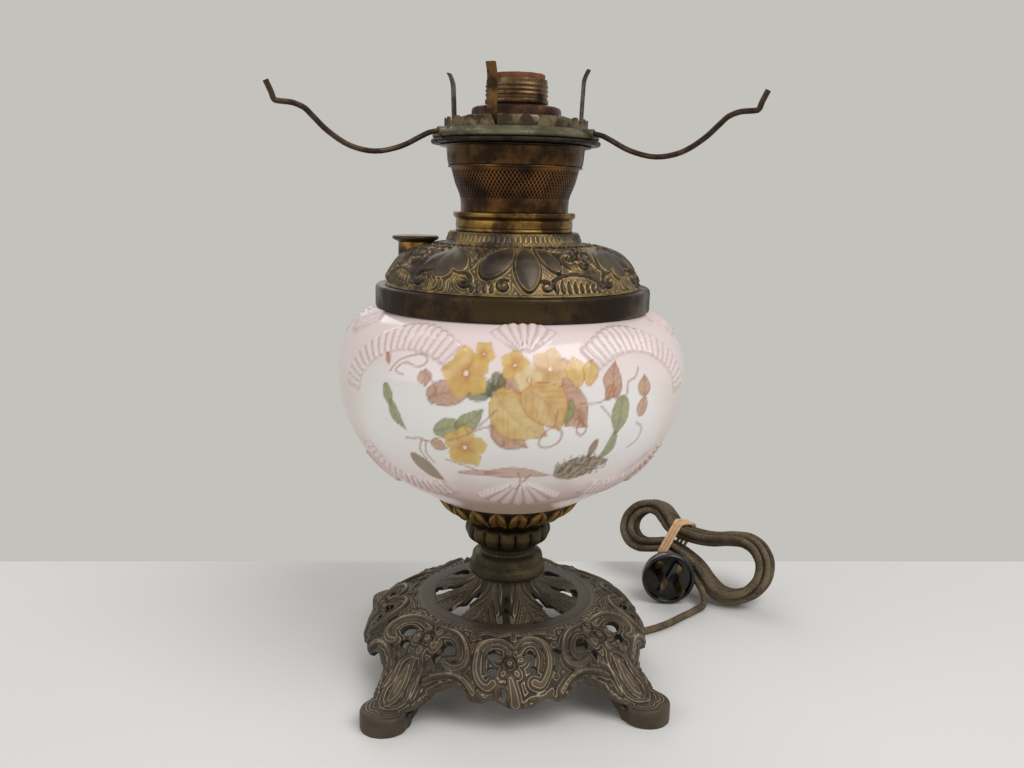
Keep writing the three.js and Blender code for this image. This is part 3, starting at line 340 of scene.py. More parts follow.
lead_points = [
    (0, 0, 0.0301), (0, 0, 0.0256), (0.0019, 0.0007, 0.017), (0.0076, 0.003, 0.0088),
    (0.0175, 0.0069, 0.0039), (0.030, 0.0117, 0.0024), (0.048, 0.0187, 0.0024),
    (0.066, 0.0258, 0.0024), (0.0854, 0.0338, 0.0024), (0.101, 0.044, 0.0024),
    (0.113, 0.0555, 0.0024), (0.124, 0.066, 0.0026), (0.1306, 0.0726, 0.0042),
]
tail_points = [
    (0.1275, 0.1126, 0.0138), (0.1205, 0.1155, 0.0114), (0.1134, 0.1135, 0.0132),
    (0.1089, 0.1082, 0.0166), (0.1078, 0.1005, 0.0178), (0.1078, 0.0963, 0.0178),
]
route = [Vector(p) for p in lead_points] + hank_line() + [Vector(p) for p in tail_points]

cord_finish, tone = finish("woven_cord", Roughness=0.8, Specular_IOR_Level=0.3)
weave = tone.cloud(1400, 2)
pale_share = tone.cloud(60, 3)
(pale_share * 0.45 + weave * 0.55).between(0.38, 0.62).blend(ink("3a3028"), ink("76674f")).into("Base Color")
weave.bump(0.5, 0.0004)

cord = wire(
    "cord", [[place + axis_place for place in route]], cord_radius, cord_finish, "cord_cover", "lamp_body",
    "cord_lead", "cord_hank", "cord_tail", steps=6,
)


# Rubber band round the hank's waist: a pale band wound round it three times,
# so that it shows as three strands side by side.

strand_radius, strand_skew, strand_places = 1.15, 0.7, (-2.6, 0, 2.6)
tie_reach, corner_steps = 3.7, 4
last_layer, first_part = 3, 1 / 8


def mottled(name, first, second, scale, detail=3, **plain):
    """A plain finish of two close colours in clouds."""
    material, tone = finish(name, **plain)
    tone.cloud(scale, detail).between(0.3, 0.7).blend(ink(first), ink(second)).into("Base Color")
    return material


def tie_corners():
    """The corners of the hank's waist, up its height and back through its layers."""
    low = -(waist_half + winding_at(first_part)[0]) * 1000
    high = (waist_half + winding_at(layer_turns + 1)[0] + turn_step * first_part) * 1000
    back = last_layer * layer_shift.dot(square) * 1000
    rise = last_layer * layer_shift.dot(rise_axis) * 1000
    return [Vector(corner) for corner in ((low, 0), (low + rise, back), (high + rise, back), (high, 0))]


corners = tie_corners()
shift_along = last_layer / 2 * layer_shift.dot(run_axis) * 1000
strands = []
for strand, along_hank in enumerate(strand_places):
    places = []
    for at, corner in enumerate(corners):
        before, after = corner - corners[at - 1], corners[(at + 1) % 4] - corner
        first = math.atan2(before.y, before.x) - math.pi / 2
        sweep = (math.atan2(after.y, after.x) - math.pi / 2 - first) % (2 * math.pi)
        for step in range(corner_steps + 1):
            turn = first + sweep * step / corner_steps
            rise, back = corner.x + tie_reach * math.cos(turn), corner.y + tie_reach * math.sin(turn)
            length = along_hank + shift_along + strand_skew * math.sin(turn + strand)
            place = rise_axis * rise + square * back + run_axis * length
            places.append(hank_point(0, 0, 0) + place / 1000 + axis_place)
    strands.append(places)
tie_finish = mottled("rubber_band", "c9a077", "e3bd95", 260, Roughness=0.7)
tie = wire("tie_band", strands, strand_radius / 1000, tie_finish, "tie_rubber", "lamp_body", "hank_tie",
           closed=True)


# Plug: a round body of black moulded plastic with an open face, in which the
# wires are held under two slotted screws beside the two flat brass blades.

plug_radius, plug_depth, plug_recess, plug_wall = 17.5, 17.0, 4.5, 2.4
plug_place = Vector((107.8, 79, 17.8))
plug_shares = [(1, 0.34), (0.96, 0.41), (0.83, 0.43), (0.76, 0.62), (0.58, 0.85), (0.343, 1)]
ridge_size, ridge_rise = (3.2, 24, 3.2), 3.1
blade_spacing, blade_out, blade_thick, blade_wide = 12.7, 17.5, 1.5, 6.35
blade_turn = math.radians(-27)
face_at = plug_recess - 0.3
plug_screw_shares = [(-0.36, 0.51), (0.35, 0.35)]
screw_outline = [(0, -1.8), (2.4, -1.6), (3.3, -0.8), (3.3, 0), (0, 0)]
slot_size, slot_at, slot_turn = (0.8, 5.4, 0.35), -1.75, 0.9

# Pieces are made in millimetres round the lamp's axis, and set in the frame in metres.
lamp_place = Matrix.Translation(axis_place) @ Matrix.Diagonal((0.001, 0.001, 0.001, 1))
smooth_limit = math.radians(38)


def piece(name, shape, material, slot, body, *nodes):
    """Makes a shape a piece of the lamp, which rides on a body and stands for CAD nodes."""
    mesh = bpy.data.meshes.new(name)
    shape.to_mesh(mesh)
    shape.free()
    mesh.transform(lamp_place)
    mesh.materials.append(material)
    mesh.shade_smooth()
    mesh.set_sharp_from_angle(angle=smooth_limit)
    return ride(stand(name, mesh), body, nodes)


def scaled(shares, radius, height, foot):
    """A table of shares turned into an outline of radius and height."""
    return [(across * radius, foot + up * height) for across, up in shares]


def rounded(line, steps):
    """A smooth line through the points of another."""
    made = []
    last = len(line) - 1
    for at in range(last):
        four = [line[min(max(at + k, 0), last)] for k in (-1, 0, 1, 2)]
        for step in range(steps):
            t = step / steps
            weights = (
                (-t + 2 * t**2 - t**3) / 2,
                (2 - 5 * t**2 + 3 * t**3) / 2,
                (t + 4 * t**2 - 3 * t**3) / 2,
                (-(t**2) + t**3) / 2,
            )
            made.append(tuple(sum(w * p[k] for w, p in zip(weights, four)) for k in range(len(line[0]))))
    return made + [tuple(line[-1])]


def placed(shape, matrix):
    """Moves a whole shape."""
    bmesh.ops.transform(shape, matrix=matrix, verts=shape.verts)
    return shape


def round_off(shape, edges, offset, segments):
    """Bevels some edges."""
    bmesh.ops.bevel(
        shape, geom=edges, offset=offset, offset_type="OFFSET", affect="EDGES",
        segments=segments, profile=0.5, material=-1, clamp_overlap=True,
    )


def soften(shape, ease, segments=2):
    """Bevels the edges that are sharp."""
    sharp = [
        edge for edge in shape.edges
        if len(edge.link_faces) == 2 and edge.calc_face_angle() > smooth_limit
    ]
    if sharp and ease:
        round_off(shape, sharp, ease, segments)


def block(size, ease, place=Matrix()):
    """A block with eased edges, at a place."""
    shape = bmesh.new()
    bmesh.ops.create_cube(shape, size=1, matrix=place @ Matrix.Diagonal((*size, 1)))
    soften(shape, ease)
    return shape


def spin(shape, geom, angle, steps, merge=True):
    """Spins points and edges round the lamp's axis."""
    return bmesh.ops.spin(
        shape, geom=geom, cent=(0, 0, 0), axis=(0, 0, 1), dvec=(0, 0, 0), angle=angle, steps=steps,
        use_merge=merge, use_normal_flip=False, use_duplicate=False,
    )["geom_last"]


def spun(line, steps, closed=True):
    """Spins a line of radius and height all the way round."""
    shape = bmesh.new()
    points = [shape.verts.new((radius, 0, height)) for radius, height in line]
    following = points[1:] + points[:1] if closed else points[1:]
    edges = [shape.edges.new(pair) for pair in zip(points, following)]
    spin(shape, points + edges, 2 * math.pi, steps)
    bmesh.ops.remove_doubles(shape, verts=shape.verts, dist=0.001)
    bmesh.ops.recalc_face_normals(shape, faces=shape.faces)
    return shape


def turned(outline, steps=96, ease=0.25):
    """Spins a closed outline, and eases its sharp corners."""
    shape = spun(outline, steps)
    bmesh.ops.dissolve_degenerate(shape, dist=0.001, edges=shape.edges)
    bmesh.ops.recalc_face_normals(shape, faces=shape.faces)
    soften(shape, ease)
    return shape


def joined(first, *others):
    """Adds shapes to the first one."""
    for other in others:
        spare = bpy.data.meshes.new("spare")
        other.to_mesh(spare)
        other.free()
        first.from_mesh(spare)
        bpy.data.meshes.remove(spare)
    return first


def old_brass(name, light, dark, rough, metal, scale):
    """Old brass: the metal's colour with cloudy stain, small spots and uneven shine."""
    material, tone = finish(name, Metallic=metal)
    stain = tone.cloud(scale, 4, 0.6)
    speck = tone.cloud(scale * 9, 2).between(0.56, 0.72)
    mask = (stain.between(0.36, 0.64) + speck * 0.35).between(0, 1)
    mask.blend(ink(light), ink(dark)).into("Base Color")
    (mask * 0.22 + rough).into("Roughness")
    (stain + speck * 0.3).bump(0.6, 0.00015)
    return material


black_finish, tone = finish("black_plug", Roughness=0.3, Coat_Weight=0.3, Coat_Roughness=0.15)
dust = tone.cloud(180, 4).between(0.45, 0.8)
dust.blend(ink("080707"), ink("191614")).into("Base Color")
(dust * 0.3 + 0.25).into("Roughness")
aged_brass = old_brass("aged_brass", "7a6542", "3a2e1e", 0.36, 0.85, 70)

rim = [(plug_radius - plug_wall / 2, 0), (plug_radius, plug_wall / 2)]
outer = rounded(rim + scaled(plug_shares, plug_radius, plug_depth, 0), 3)
inside = plug_radius - plug_wall
shape = turned([(0, plug_recess), (inside, plug_recess), (inside, 0.4), *outer, (0, plug_depth)], 96, 0.5)
ridge_place = Matrix.Translation((0, 0, ridge_rise)) @ Matrix.Rotation(-blade_turn, 4, "Z")
joined(shape, block(ridge_size, 0.6, ridge_place))
placed(shape, Matrix.Translation(plug_place) @ Matrix.Rotation(-math.pi / 2, 4, "X"))
plug = piece("plug", shape, black_finish, "plug_black", "lamp_body", "plug_body")

for at, side in enumerate((-1, 1)):
    reach = blade_out + face_at
    spot = Matrix.Translation((side * blade_spacing / 2, face_at - reach / 2, 0))
    blade_place = Matrix.Translation(plug_place) @ Matrix.Rotation(-blade_turn, 4, "Y") @ spot
    blade = placed(block((blade_thick, reach, blade_wide), 0.35), blade_place)
    piece(f"blade_{at + 1}", blade, aged_brass, "aged_brass", "lamp_body",
                             f"plug_blade_{at + 1}")
    right, up = plug_screw_shares[at]
    spot = Matrix.Translation(plug_place + Vector((right * plug_radius, face_at, up * plug_radius)))
    screw = joined(turned(screw_outline, 32, 0.2), block(slot_size, 0, Matrix.Translation((0, 0, slot_at))))
    placed(screw, spot @ Matrix.Rotation(-math.pi / 2, 4, "X") @ Matrix.Rotation(slot_turn - at, 4, "Z"))
    piece(f"plug_clamp_{at + 1}", screw, aged_brass, "aged_brass", "lamp_body",
                             f"plug_screw_{at + 1}")


# Cast base: a pierced skirt of scrolls and flowers on four tongue-shaped feet
# round a plain flat ring, cast in one piece with the hub, in dark bronze.

ring_height, ring_inner, ring_outer = 41.2, 41.1, 48.5
ring_under, ring_over = 3.2, 0.15
skirt_reach, skirt_foot = 81, 10
skirt_columns, skirt_rows, cast_wall = 720, 54, 3.0
foot_reach, foot_radius, foot_height = 95.3, 12.9, 9.2
base_turn = math.radians(5.66)
edge_shares = [
    (0, 0.3), (4, 0.31), (7, 0.39), (10, 0.43), (14, 0.36), (17.5, 0.37),
    (21, 0.48), (25, 0.52), (30, 0.43), (34, 0.29), (38, 0.13), (45, 0.09),
]
leg_shares = [(0, 0), (0.2, 0.087), (0.41, 0.255), (0.58, 0.457), (0.747, 0.736), (0.895, 0.938), (1, 1)]
leg_start, leg_end = 31, 40
plane_spread = 0.75
toe_start, toe_round, toe_end = 70, 105.8, 108.1
toe_widths = [(70, 8.6), (78, 9.3), (84, 9.9), (89, 11.3), (foot_reach, foot_radius)]
toe_soles = [(70, 24), (76, 16), (80, 9.5), (84, 4), (88, 0)]
toe_section = [
    (0, 0), (0.5, 0), (0.94, 0), (0.99, 0.08), (1, 0.2), (1, 0.5), (1, 0.76), (0.985, 0.86), (0.95, 0.94),
    (0.89, 0.985), *((0.82 - 0.082 * k, 1) for k in range(11)),
]


class Ornament:
    """Scrolls, leaves and flowers drawn in a flat plane, in millimetres, as rows of round marks.

    Each mark has a half width and a height. A point of the metal rises with the marks
    that hold it, and keeps its distance from the nearest mark's edge for the fine lines.
    """

    def __init__(self):
        self.marks = []

    def row(self, points, half, height):
        """A raised line through points; half widths and heights may run from one value to another."""
        line = rounded(points, 8)
        for at, place in enumerate(line):
            share = at / (len(line) - 1)
            self.marks.append((*place, lerp(*half, share), lerp(*height, share)))

    def curl(self, x, y, radius, start, sweep, half, height, core=0.28):
        """A scroll that winds in to a round end, or a ring if its core is 1."""
        count = max(int(abs(math.radians(sweep)) * radius / 0.7), 8)
        for at in range(count + 1):
            share = at / count
            reach = radius * lerp(1, core, share)
            turn = math.radians(start) + math.radians(sweep) * share
            spot = (x + reach * math.cos(turn), y + reach * math.sin(turn))
            self.marks.append((*spot, half * lerp(0.75, 1, share), height))
        if core < 1:
            self.marks.append((x, y, half * 1.4, height * 1.15))

    def leaf(self, x, y, length, width, turn, bend, height):
        """A leaf, round at its start and pointed at its end, widest in its first half."""
        count = max(int(length / 0.6), 6)
        for at in range(count + 1):
            share = at / count
            angle = math.radians(turn + bend * share)
            half = width * math.sin(math.pi * (share * 0.92 + 0.06) ** 0.8)
            self.marks.append((x, y, half, height * (1 - 0.5 * share)))
            x += length / count * math.cos(angle)
            y += length / count * math.sin(angle)

    def flower(self, x, y, radius, petals, height, turn=90):
        """A round flower: a boss in a ring, and petals about them."""
        for at in range(petals):
            angle = turn + 360 * at / petals
            out = math.radians(angle)
            foot = (x + radius * 0.55 * math.cos(out), y + radius * 0.55 * math.sin(out))
            self.leaf(*foot, radius * 0.5, radius * 0.3, angle, 0, height)
        self.curl(x, y, radius * 0.52, 0, 360, radius * 0.1, height * 1.1, 1)
        self.marks.append((x, y, radius * 0.3, height * 1.4))

    def ready(self):
        """Sorts the marks, so that the near ones are found fast."""
        self.tree = kdtree.KDTree(len(self.marks))
        for at, (x, y, half, height) in enumerate(self.marks):
            self.tree.insert((x, y, 0), at)
        self.tree.balance()

    def rise(self, x, y):
        """The height at a place, and its distance from the nearest mark's edge, below 0 inside."""
        best, apart = 0, 9
        for place, at, distance in self.tree.find_n((x, y, 0), 12):
            half, height = self.marks[at][2:]
            apart = min(apart, distance - half)
            if distance < half:
                best = max(best, height * math.sqrt(1 - (distance / half) ** 2))
        return best, apart


def around(place):
    """A point's radius, and its turn from the front."""
    return math.hypot(place.x, place.y), math.atan2(place.x, -place.y)


def standing(radius, turn, height):
    """The point at a radius, a turn from the front and a height."""
    return Vector((radius * math.sin(turn), -radius * math.cos(turn), height))


def raise_by(shape, rule, name="relief", points=None):
    """Moves points out along their normals by a rule, which also gives the mark each one keeps."""
    layers = shape.verts.layers.float
    layer = layers.get(name) or layers.new(name)
    shape.normal_update()
    moves = []
    points = points or list(shape.verts)
    for vert in points:
        height, mark = rule(vert.co)
        vert[layer] = mark
        moves.append(vert.normal * height)
    for vert, move in zip(points, moves):
        vert.co += move


def fine_lines(edge, first, apart, width):
    """1 on lines that follow the ornament's edges at equal steps, and 0 between them."""
    wave = edge.maths("PINGPONG", edge + (apart / 2 - first), apart / 2)
    return wave.between(apart / 2 - width, apart / 2 - width * 0.4)


def along(table, at, straight=False):
    """The value of a table at a place, straight or eased from entry to entry."""
    for (low, first), (high, second) in zip(table, table[1:]):
        if at <= high:
            share = max(at - low, 0) / (high - low)
            return lerp(first, second, share if straight else (1 - math.cos(math.pi * share)) / 2)
    return table[-1][1]


def smoothed(shape, verts, times):
    """Smooths some points of a shape."""
    for _ in range(times):
        bmesh.ops.smooth_vert(shape, verts=verts, factor=0.5, use_axis_x=True, use_axis_y=True, use_axis_z=True)


leg_rounded = rounded(leg_shares, 4)


def skirt_point(row, edge, leg):
    """Radius and height of the skirt's face: a share of the way out, over an edge, so far into a leg."""
    drop = ring_height - skirt_foot
    left = 1 - min((ring_height - edge) / drop, 1)
    out = row * math.sqrt(1 - left * left)
    face = (ring_outer + (skirt_reach - ring_outer) * out, ring_height - drop * (1 - math.sqrt(1 - out * out)))
    down = (ring_height - foot_height) * along(leg_rounded, row, True)
    foot = (ring_outer + (foot_reach - ring_outer) * row, ring_height - down)
    return lerp(face[0], foot[0], leg), lerp(face[1], foot[1], leg)


def face_turn(place):
    """The turn from the middle of the nearest face, in degrees."""
    turn = math.degrees(around(place)[1] - base_turn)
    return (turn + 45) % 90 - 45


def face_down(radius, height):
    """How far down the face's plane a point lies, from the ring's edge."""
    return math.hypot(max(radius - ring_outer, 0), ring_height - height)


def face_place(place):
    """Where a point of the skirt lies in its face's plane: across from the middle, and down from the ring."""
    down = face_down(around(place)[0], place.z)
    return math.radians(face_turn(place)) * (ring_outer + plane_spread * down), down


def leg_place(place):
    """Where a point lies in its leg's plane: across from the middle, and out from the lamp's axis."""
    radius, turn = around(place)[0], face_turn(place)
    turn = math.radians(turn - math.copysign(45, turn))
    return radius * math.sin(turn), radius * math.cos(turn)


# The face's plane: a heart of two scrolls round a flower, a pendant ring and a
# leaf below it, a wave over each arch and a scroll towards each leg.
face_work, fine_work, leg_work = Ornament(), Ornament(), Ornament()
for points, half, height in (
    ([(-1.7, 15), (-7, 10.4), (-13.1, 10.7), (-18.2, 14.6), (-20, 20.6), (-21, 27), (-19.3, 32), (-15.5, 34),
      (-12.5, 32)], (1.4, 2.6), (1.5, 2.1)),
    ([(-1.2, 15), (2.5, 10.2), (7.2, 9), (12, 11.8), (14.4, 17.2), (15.2, 23.5), (13.6, 29.1), (10.5, 33),
      (7, 32)], (1.4, 2.6), (1.5, 2.1)),
    ([(-49, 37), (-42.6, 33), (-33, 30.4), (-26.8, 32), (-22.6, 36.6)], (1.5, 2.2), (1.4, 2.0)),
    ([(49, 37), (42.6, 33), (33, 30.4), (25.8, 32), (20.9, 36.6)], (1.5, 2.2), (1.4, 2.0)),
    ([(-40.8, 7.5), (-34, 7.4), (-27.6, 11.2), (-24.6, 19), (-26.6, 25.6), (-32, 28), (-36.5, 27)],
     (1.5, 2.5), (1.5, 2.0)),
    ([(39, 6.4), (31.5, 7.4), (25.4, 11.5), (22.9, 19), (25, 25.4), (31, 27.6), (36, 26.6)],
     (1.5, 2.5), (1.5, 2.0)),
    ([(-4.3, 30), (-3, 35), (-2.2, 40)], (2.0, 3.2), (1.5, 2.0)),
):
    face_work.row(points, half, height)
face_work.curl(-8.3, 36.4, 3.3, 0, 360, 1.4, 1.9, 1)
face_work.flower(-4.3, 23.4, 7.4, 5, 1.9, -90)
for points in (
    [(-3.2, 17.6), (-8, 14.2), (-12.8, 14.4), (-15.6, 18), (-16.4, 23), (-16.8, 28)],
    [(0.6, 17.6), (4, 13.4), (8.4, 13.2), (10.8, 17), (11.4, 22.5), (10.4, 27)],
    [(-46.5, 41), (-40.5, 36.8), (-33.2, 34.4), (-28.4, 36), (-26.4, 39)],
    [(46.5, 41), (40.5, 36.8), (33.2, 34.4), (27.4, 36), (24.6, 39)],
    [(-39, 11.2), (-33.6, 11.2), (-29.8, 14), (-28.4, 19), (-30, 23.4), (-33.6, 24.6)],
    [(38, 10.4), (32.6, 10.8), (28.4, 14), (26.8, 19), (28.4, 23.4), (32, 24.6)],
    [(-23, 3.4), (-19, 5.6), (-14, 4.2), (-8, 5.8), (-1.5, 3.6), (-1.5, 9)],
    [(22, 3.4), (17, 5.6), (10, 4.2), (4, 5.2), (-1.5, 3.6)],
    [(-20.6, 37), (-16.5, 40)], [(16, 36), (12, 38.4), (6, 38.6), (2, 41)],
):
    fine_work.row(points, (0.8, 0.9), (1.2, 1.2))
for side in (-1, 1):
    for across, down, radius in (
        (18, 8.6, 1.3), (20.6, 7.2, 1.1), (20.8, 10.2, 1.1),
        (19.8, 14.6, 1.3), (19.6, 27, 1.5), (19.4, 30.4, 1.2),
    ):
        fine_work.marks.append((side * across - 1, down, radius, 1.3))
    for at in range(7):
        fine_work.marks.append((side * (25 + 3 * at), 3.4 + 0.7 * (at % 2), 1.1, 0.8))
    fine_work.leaf(side * 43.5, 28.5, 7, 1.7, 90 - side * 50, 0, 1.3)
    fine_work.leaf(side * 40, 15.8, 7, 1.9, 90 - side * 60, side * 30, 1.5)
for at in range(-38, 39):
    edge = along(edge_shares, abs(at)) * ring_height
    radius, height = skirt_point(1, edge, eased(abs(at), leg_start, leg_end))
    down = face_down(radius, height)
    fine_work.marks.append((math.radians(at) * (ring_outer + plane_spread * down), down - 0.8, 1.5, 1.1))

# The leg's plane: a flower at its top, a long drop in a leafy frame down its
# back, and a small crescent on the toe.
leg_work.flower(0, 64, 8.4, 5, 1.9, 90)
leg_work.leaf(-0.4, 93, 19, 3.6, -90, 0, 1.5)
for side in (-1, 1):
    leg_work.row([(side * 2.5, 72.5), (side * 6.6, 77), (side * 6.2, 83), (side * 7.6, 88), (side * 5.2, 93),
                  (side * 1.2, 96)], (0.7, 0.9), (1.0, 1.1))
    leg_work.row([(0, 99.2), (side * 3, 100.8), (side * 5.4, 99.6), (side * 7.8, 96.6)], (1.1, 0.6), (0.8, 0.8))
    leg_work.row([(side * 10, 72), (side * 9.4, 79), (side * 10.4, 86)], (0.8, 0.8), (1.0, 1.0))
for work in (face_work, fine_work, leg_work):
    work.ready()

# Pierced places in the face's plane: across, down, and half the width and height.
holes = [
    (-11.6, 19.2, 3.0, 2.7), (-13.0, 27.4, 2.4, 2.3), (5.6, 19.6, 2.9, 2.8), (7.0, 26.6, 1.7, 1.9),
    (19.3, 20.0, 1.9, 2.6), (-35.6, 18.6, 3.6, 3.0), (34.8, 18.2, 3.6, 3.2), (-8.3, 36.4, 1.5, 1.5),
    (-41.5, 24.6, 2.2, 2.0), (41.5, 24.6, 2.2, 2.0),
]


def in_hole(place):
    x, y = face_place(place)
    return any(((x - across) / wide) ** 2 + ((y - down) / high) ** 2 < 1 for across, down, wide, high in holes)


def skirt_work(place):
    """The raised work of the skirt and its legs, sunk where a toe lies over it."""
    face, leg = face_place(place), leg_place(place)
    reads = [face_work.rise(*face), fine_work.rise(*face), leg_work.rise(*leg)]
    height, edge = max(read[0] for read in reads), min(read[1] for read in reads)
    fade = eased(face[1], 0.8, 2.6)
    sunk = 0
    if abs(face_turn(place)) > leg_start:
        sunk = 1.8 * eased(leg[1], 76, 80) * (1 - eased(abs(leg[0]), 9, 11))
    return height * fade - sunk, lerp(9, edge, fade)


def toe_work(place):
    height, apart = leg_work.rise(*leg_place(place))
    return (height, apart) if place.z > 5 else (0, 9)


def toe(shape, middle):
    """One foot: a tongue that leaves the leg, widens and ends round on the table."""
    section = toe_section + [(-across, up) for across, up in toe_section[-2:0:-1]]
    stations = [toe_start + 0.8 * k for k in range(44)] + [104.9 + 0.25 * k for k in range(13)] + [toe_end]
    rings = []
    for reach in stations:
        half = along(toe_widths, reach)
        if reach > foot_reach:
            half = math.sqrt(foot_radius**2 - (reach - foot_reach) ** 2)
        out = min((reach - ring_outer) / (foot_reach - ring_outer), 1)
        top = ring_height - (ring_height - foot_height) * along(leg_rounded, out, True) + 0.5
        top -= 2 * (1 - math.sqrt(max(1 - max(reach - toe_round, 0) ** 2 / 6, 0)))
        top -= 2.4 * (1 - eased(reach, toe_start, toe_start + 7))
        sole = along(toe_soles, reach, True)
        ring = []
        for across, up in section:
            side = across * half
            crowned = top + 0.5 * (1 - across * across) * eased(up, 0.9, 1)
            turn = middle + math.atan2(side, reach)
            ring.append(shape.verts.new(standing(math.hypot(side, reach), turn, lerp(sole, crowned, up))))
        rings.append(ring)
    faces = [shape.faces.new(rings[0]), shape.faces.new(rings[-1])]
    for first, second in zip(rings, rings[1:]):
        for at in range(len(first)):
            faces.append(shape.faces.new((first[at], first[at - 1], second[at - 1], second[at])))
    bmesh.ops.recalc_face_normals(shape, faces=faces)
    return [vert for ring in rings for vert in ring]


shape = bmesh.new()
grid = []
for column in range(skirt_columns):
    turn = 2 * math.pi * column / skirt_columns
    spread = face_turn(standing(1, turn, 0))
    leg = eased(abs(spread), leg_start, leg_end)
    edge = along(edge_shares, abs(spread)) * ring_height
    profile = [skirt_point(row / skirt_rows, edge, leg) for row in range(skirt_rows + 1)]
    grid.append([shape.verts.new(standing(radius, turn, height)) for radius, height in profile])
for column in range(skirt_columns):
    following = grid[(column + 1) % skirt_columns]
    for row in range(skirt_rows):
        shape.faces.new((grid[column][row], grid[column][row + 1], following[row + 1], following[row]))
bmesh.ops.recalc_face_normals(shape, faces=shape.faces)
raise_by(shape, skirt_work, "edge")
pierced = [face for face in shape.faces if in_hole(face.calc_center_median())]
bmesh.ops.delete(shape, geom=pierced, context="FACES")
rim = [vert for vert in shape.verts if vert.is_boundary and vert.co.z < ring_height - 1]
smoothed(shape, rim, 4)
bmesh.ops.solidify(shape, geom=shape.faces, thickness=cast_wall)
toes = [toe(shape, base_turn + (at + 0.5) * math.pi / 2) for at in range(4)]
raise_by(shape, toe_work, "edge", [vert for points in toes for vert in points])

joined(shape, turned([
    (ring_inner, ring_height - ring_under), (ring_outer - 0.4, ring_height - ring_under),
    (ring_outer + 0.8, ring_height - 0.6), (ring_outer, ring_height + ring_over),
    (ring_inner, ring_height + ring_over),
], 192, 0.5))

bronze_finish, tone = finish("cast_bronze", Metallic=0.35)
edge = tone.mark("edge")
patch = tone.cloud(38, 4, 0.6)
grain = tone.cloud(900, 3, 0.6)
# The pale tan lines along the ornament's edges are partly rubbed metal and partly a painted highlight along the
# ridges.
lines = fine_lines(edge, 0.35, 1.7, 0.26) * (1 - edge.between(2.2, 3.0)) * edge.between(-3.4, -2.6)
pale_share = lines * (patch.between(0.3, 0.7) * 0.8 + 0.15)
hollow = edge.between(-0.7, 0.5) * (1 - edge.between(2.0, 5.0))
ground = patch.between(0.3, 0.7).blend(ink("3b3126"), ink("564939"))
ground = (hollow * 0.7).blend(ground, ink("1d160f"))
(pale_share + grain.between(0.62, 0.8) * 0.12).blend(ground, ink("b09f82")).into("Base Color")
(patch * 0.25 + 0.42).into("Roughness")
(lines * 0.7 + grain * 0.25).bump(0.8, 0.0006)
piece("cast_base", shape, bronze_finish, "cast_bronze", "lamp_body", "base_casting")


# Hub: eight leaves that rise from the ring to the stem, cast with the base,
# with a slot and a star between each two.

hub_radius, hub_rise, hub_columns, hub_wall = 17.6, 12.8, 384, 2.2
half_leaf = 22.5
leaf_apart = 2 * half_leaf
opening_shares = [(0.5, 0.012), (0.57, 0.025), (0.74, 0.03), (0.79, 0.085), (0.83, 0.07), (0.89, 0.13),
                  (0.995, 0.125)]
hub_line = rounded([(0.965, 1), (1, 0.84), (1.16, 0.58), (1.6, 0.25), (2.36, 0.0)], 8)


def sheet(line, steps):
    """Spins an open line into thin sheet that faces up."""
    shape = spun(line, steps, closed=False)
    if sum(face.normal.z for face in shape.faces) < 0:
        bmesh.ops.reverse_faces(shape, faces=shape.faces)
    return shape


def leaf_work(place):
    """Veins that run down each leaf and spread to its sides."""
    radius, turn = around(place)
    side = abs(((math.degrees(turn) + leaf_apart) % leaf_apart - half_leaf) / half_leaf)
    across = side * radius * math.pi / 8
    rib = 1.3 * math.exp(-((across / 1.3) ** 2))
    veins = 0.5 * math.cos(2 * math.pi * (across - 0.55 * (radius - hub_radius)) / 3.4) * eased(across, 0.8, 2)
    edge = 0.9 * eased(side, 0.55, 0.95)
    fade = eased(place.z, ring_height - 2, ring_height + 2)
    dark = max(eased(-veins, 0, 0.4), eased(side, 0.5, 0.9)) * lerp(0.6, 1, fade)
    return (rib + veins - edge) * lerp(0.4, 1, fade), lerp(-0.5, 1.4, dark)


def in_opening(place):
    radius, turn = around(place)
    turn = (math.degrees(turn) + half_leaf) % leaf_apart - half_leaf
    out = radius / ring_inner
    if out < opening_shares[0][0] or out > opening_shares[-1][0]:
        return False
    return abs(math.radians(turn)) * radius < along(opening_shares, out, True) * ring_inner


def in_slot_edge(vert):
    """Whether a point lies on the edge of an opening, and not on the hub's own edges."""
    inner = vert.co.z < ring_height + hub_rise - 1 and around(vert.co)[0] < ring_inner - 0.5
    return vert.is_boundary and inner


shape = sheet([(r * hub_radius, ring_height + z * hub_rise) for r, z in hub_line], hub_columns)
raise_by(shape, leaf_work, "edge")
gaps = [face for face in shape.faces if in_opening(face.calc_center_median())]
bmesh.ops.delete(shape, geom=gaps, context="FACES")
smoothed(shape, [vert for vert in shape.verts if in_slot_edge(vert)], 3)
bmesh.ops.solidify(shape, geom=shape.faces, thickness=hub_wall)
piece("hub_leaves", shape, bronze_finish, "cast_bronze", "lamp_body")


# Stem: a plain spun collar, a gadrooned knop over a reeded neck, and the cup of
# leaves that carries the glass, threaded on the rod one on the other.

flange_foot, flange_radius, flange_height = 54.3, 21.6, 15.2
knop_foot, knop_radius, knop_height = 69.8, 24.1, 16.4
cup_foot, cup_radius, cup_height = 86.5, 39.3, 16.2
bore, cup_leaves, gadroons, reeds = 5.4, 20, 16, 40

olive_brass = old_brass("olive_brass", "4d432c", "372f20", 0.44, 0.6, 60)
flange_line = rounded([(0.8, 0), (0.91, 0.05), (0.985, 0.16), (1, 0.3), (0.985, 0.44), (0.93, 0.52),
                       (0.935, 0.58), (0.9, 0.82), (0.74, 0.93), (0.722, 1)], 4)
flange = scaled(flange_line, flange_radius, flange_height, flange_foot)
shape = turned([(bore, flange_foot), *flange, (bore, flange_foot + flange_height)], 96, 0.2)
piece("stem_collar", shape, olive_brass, "olive_brass", "lamp_body", "stem_flange")

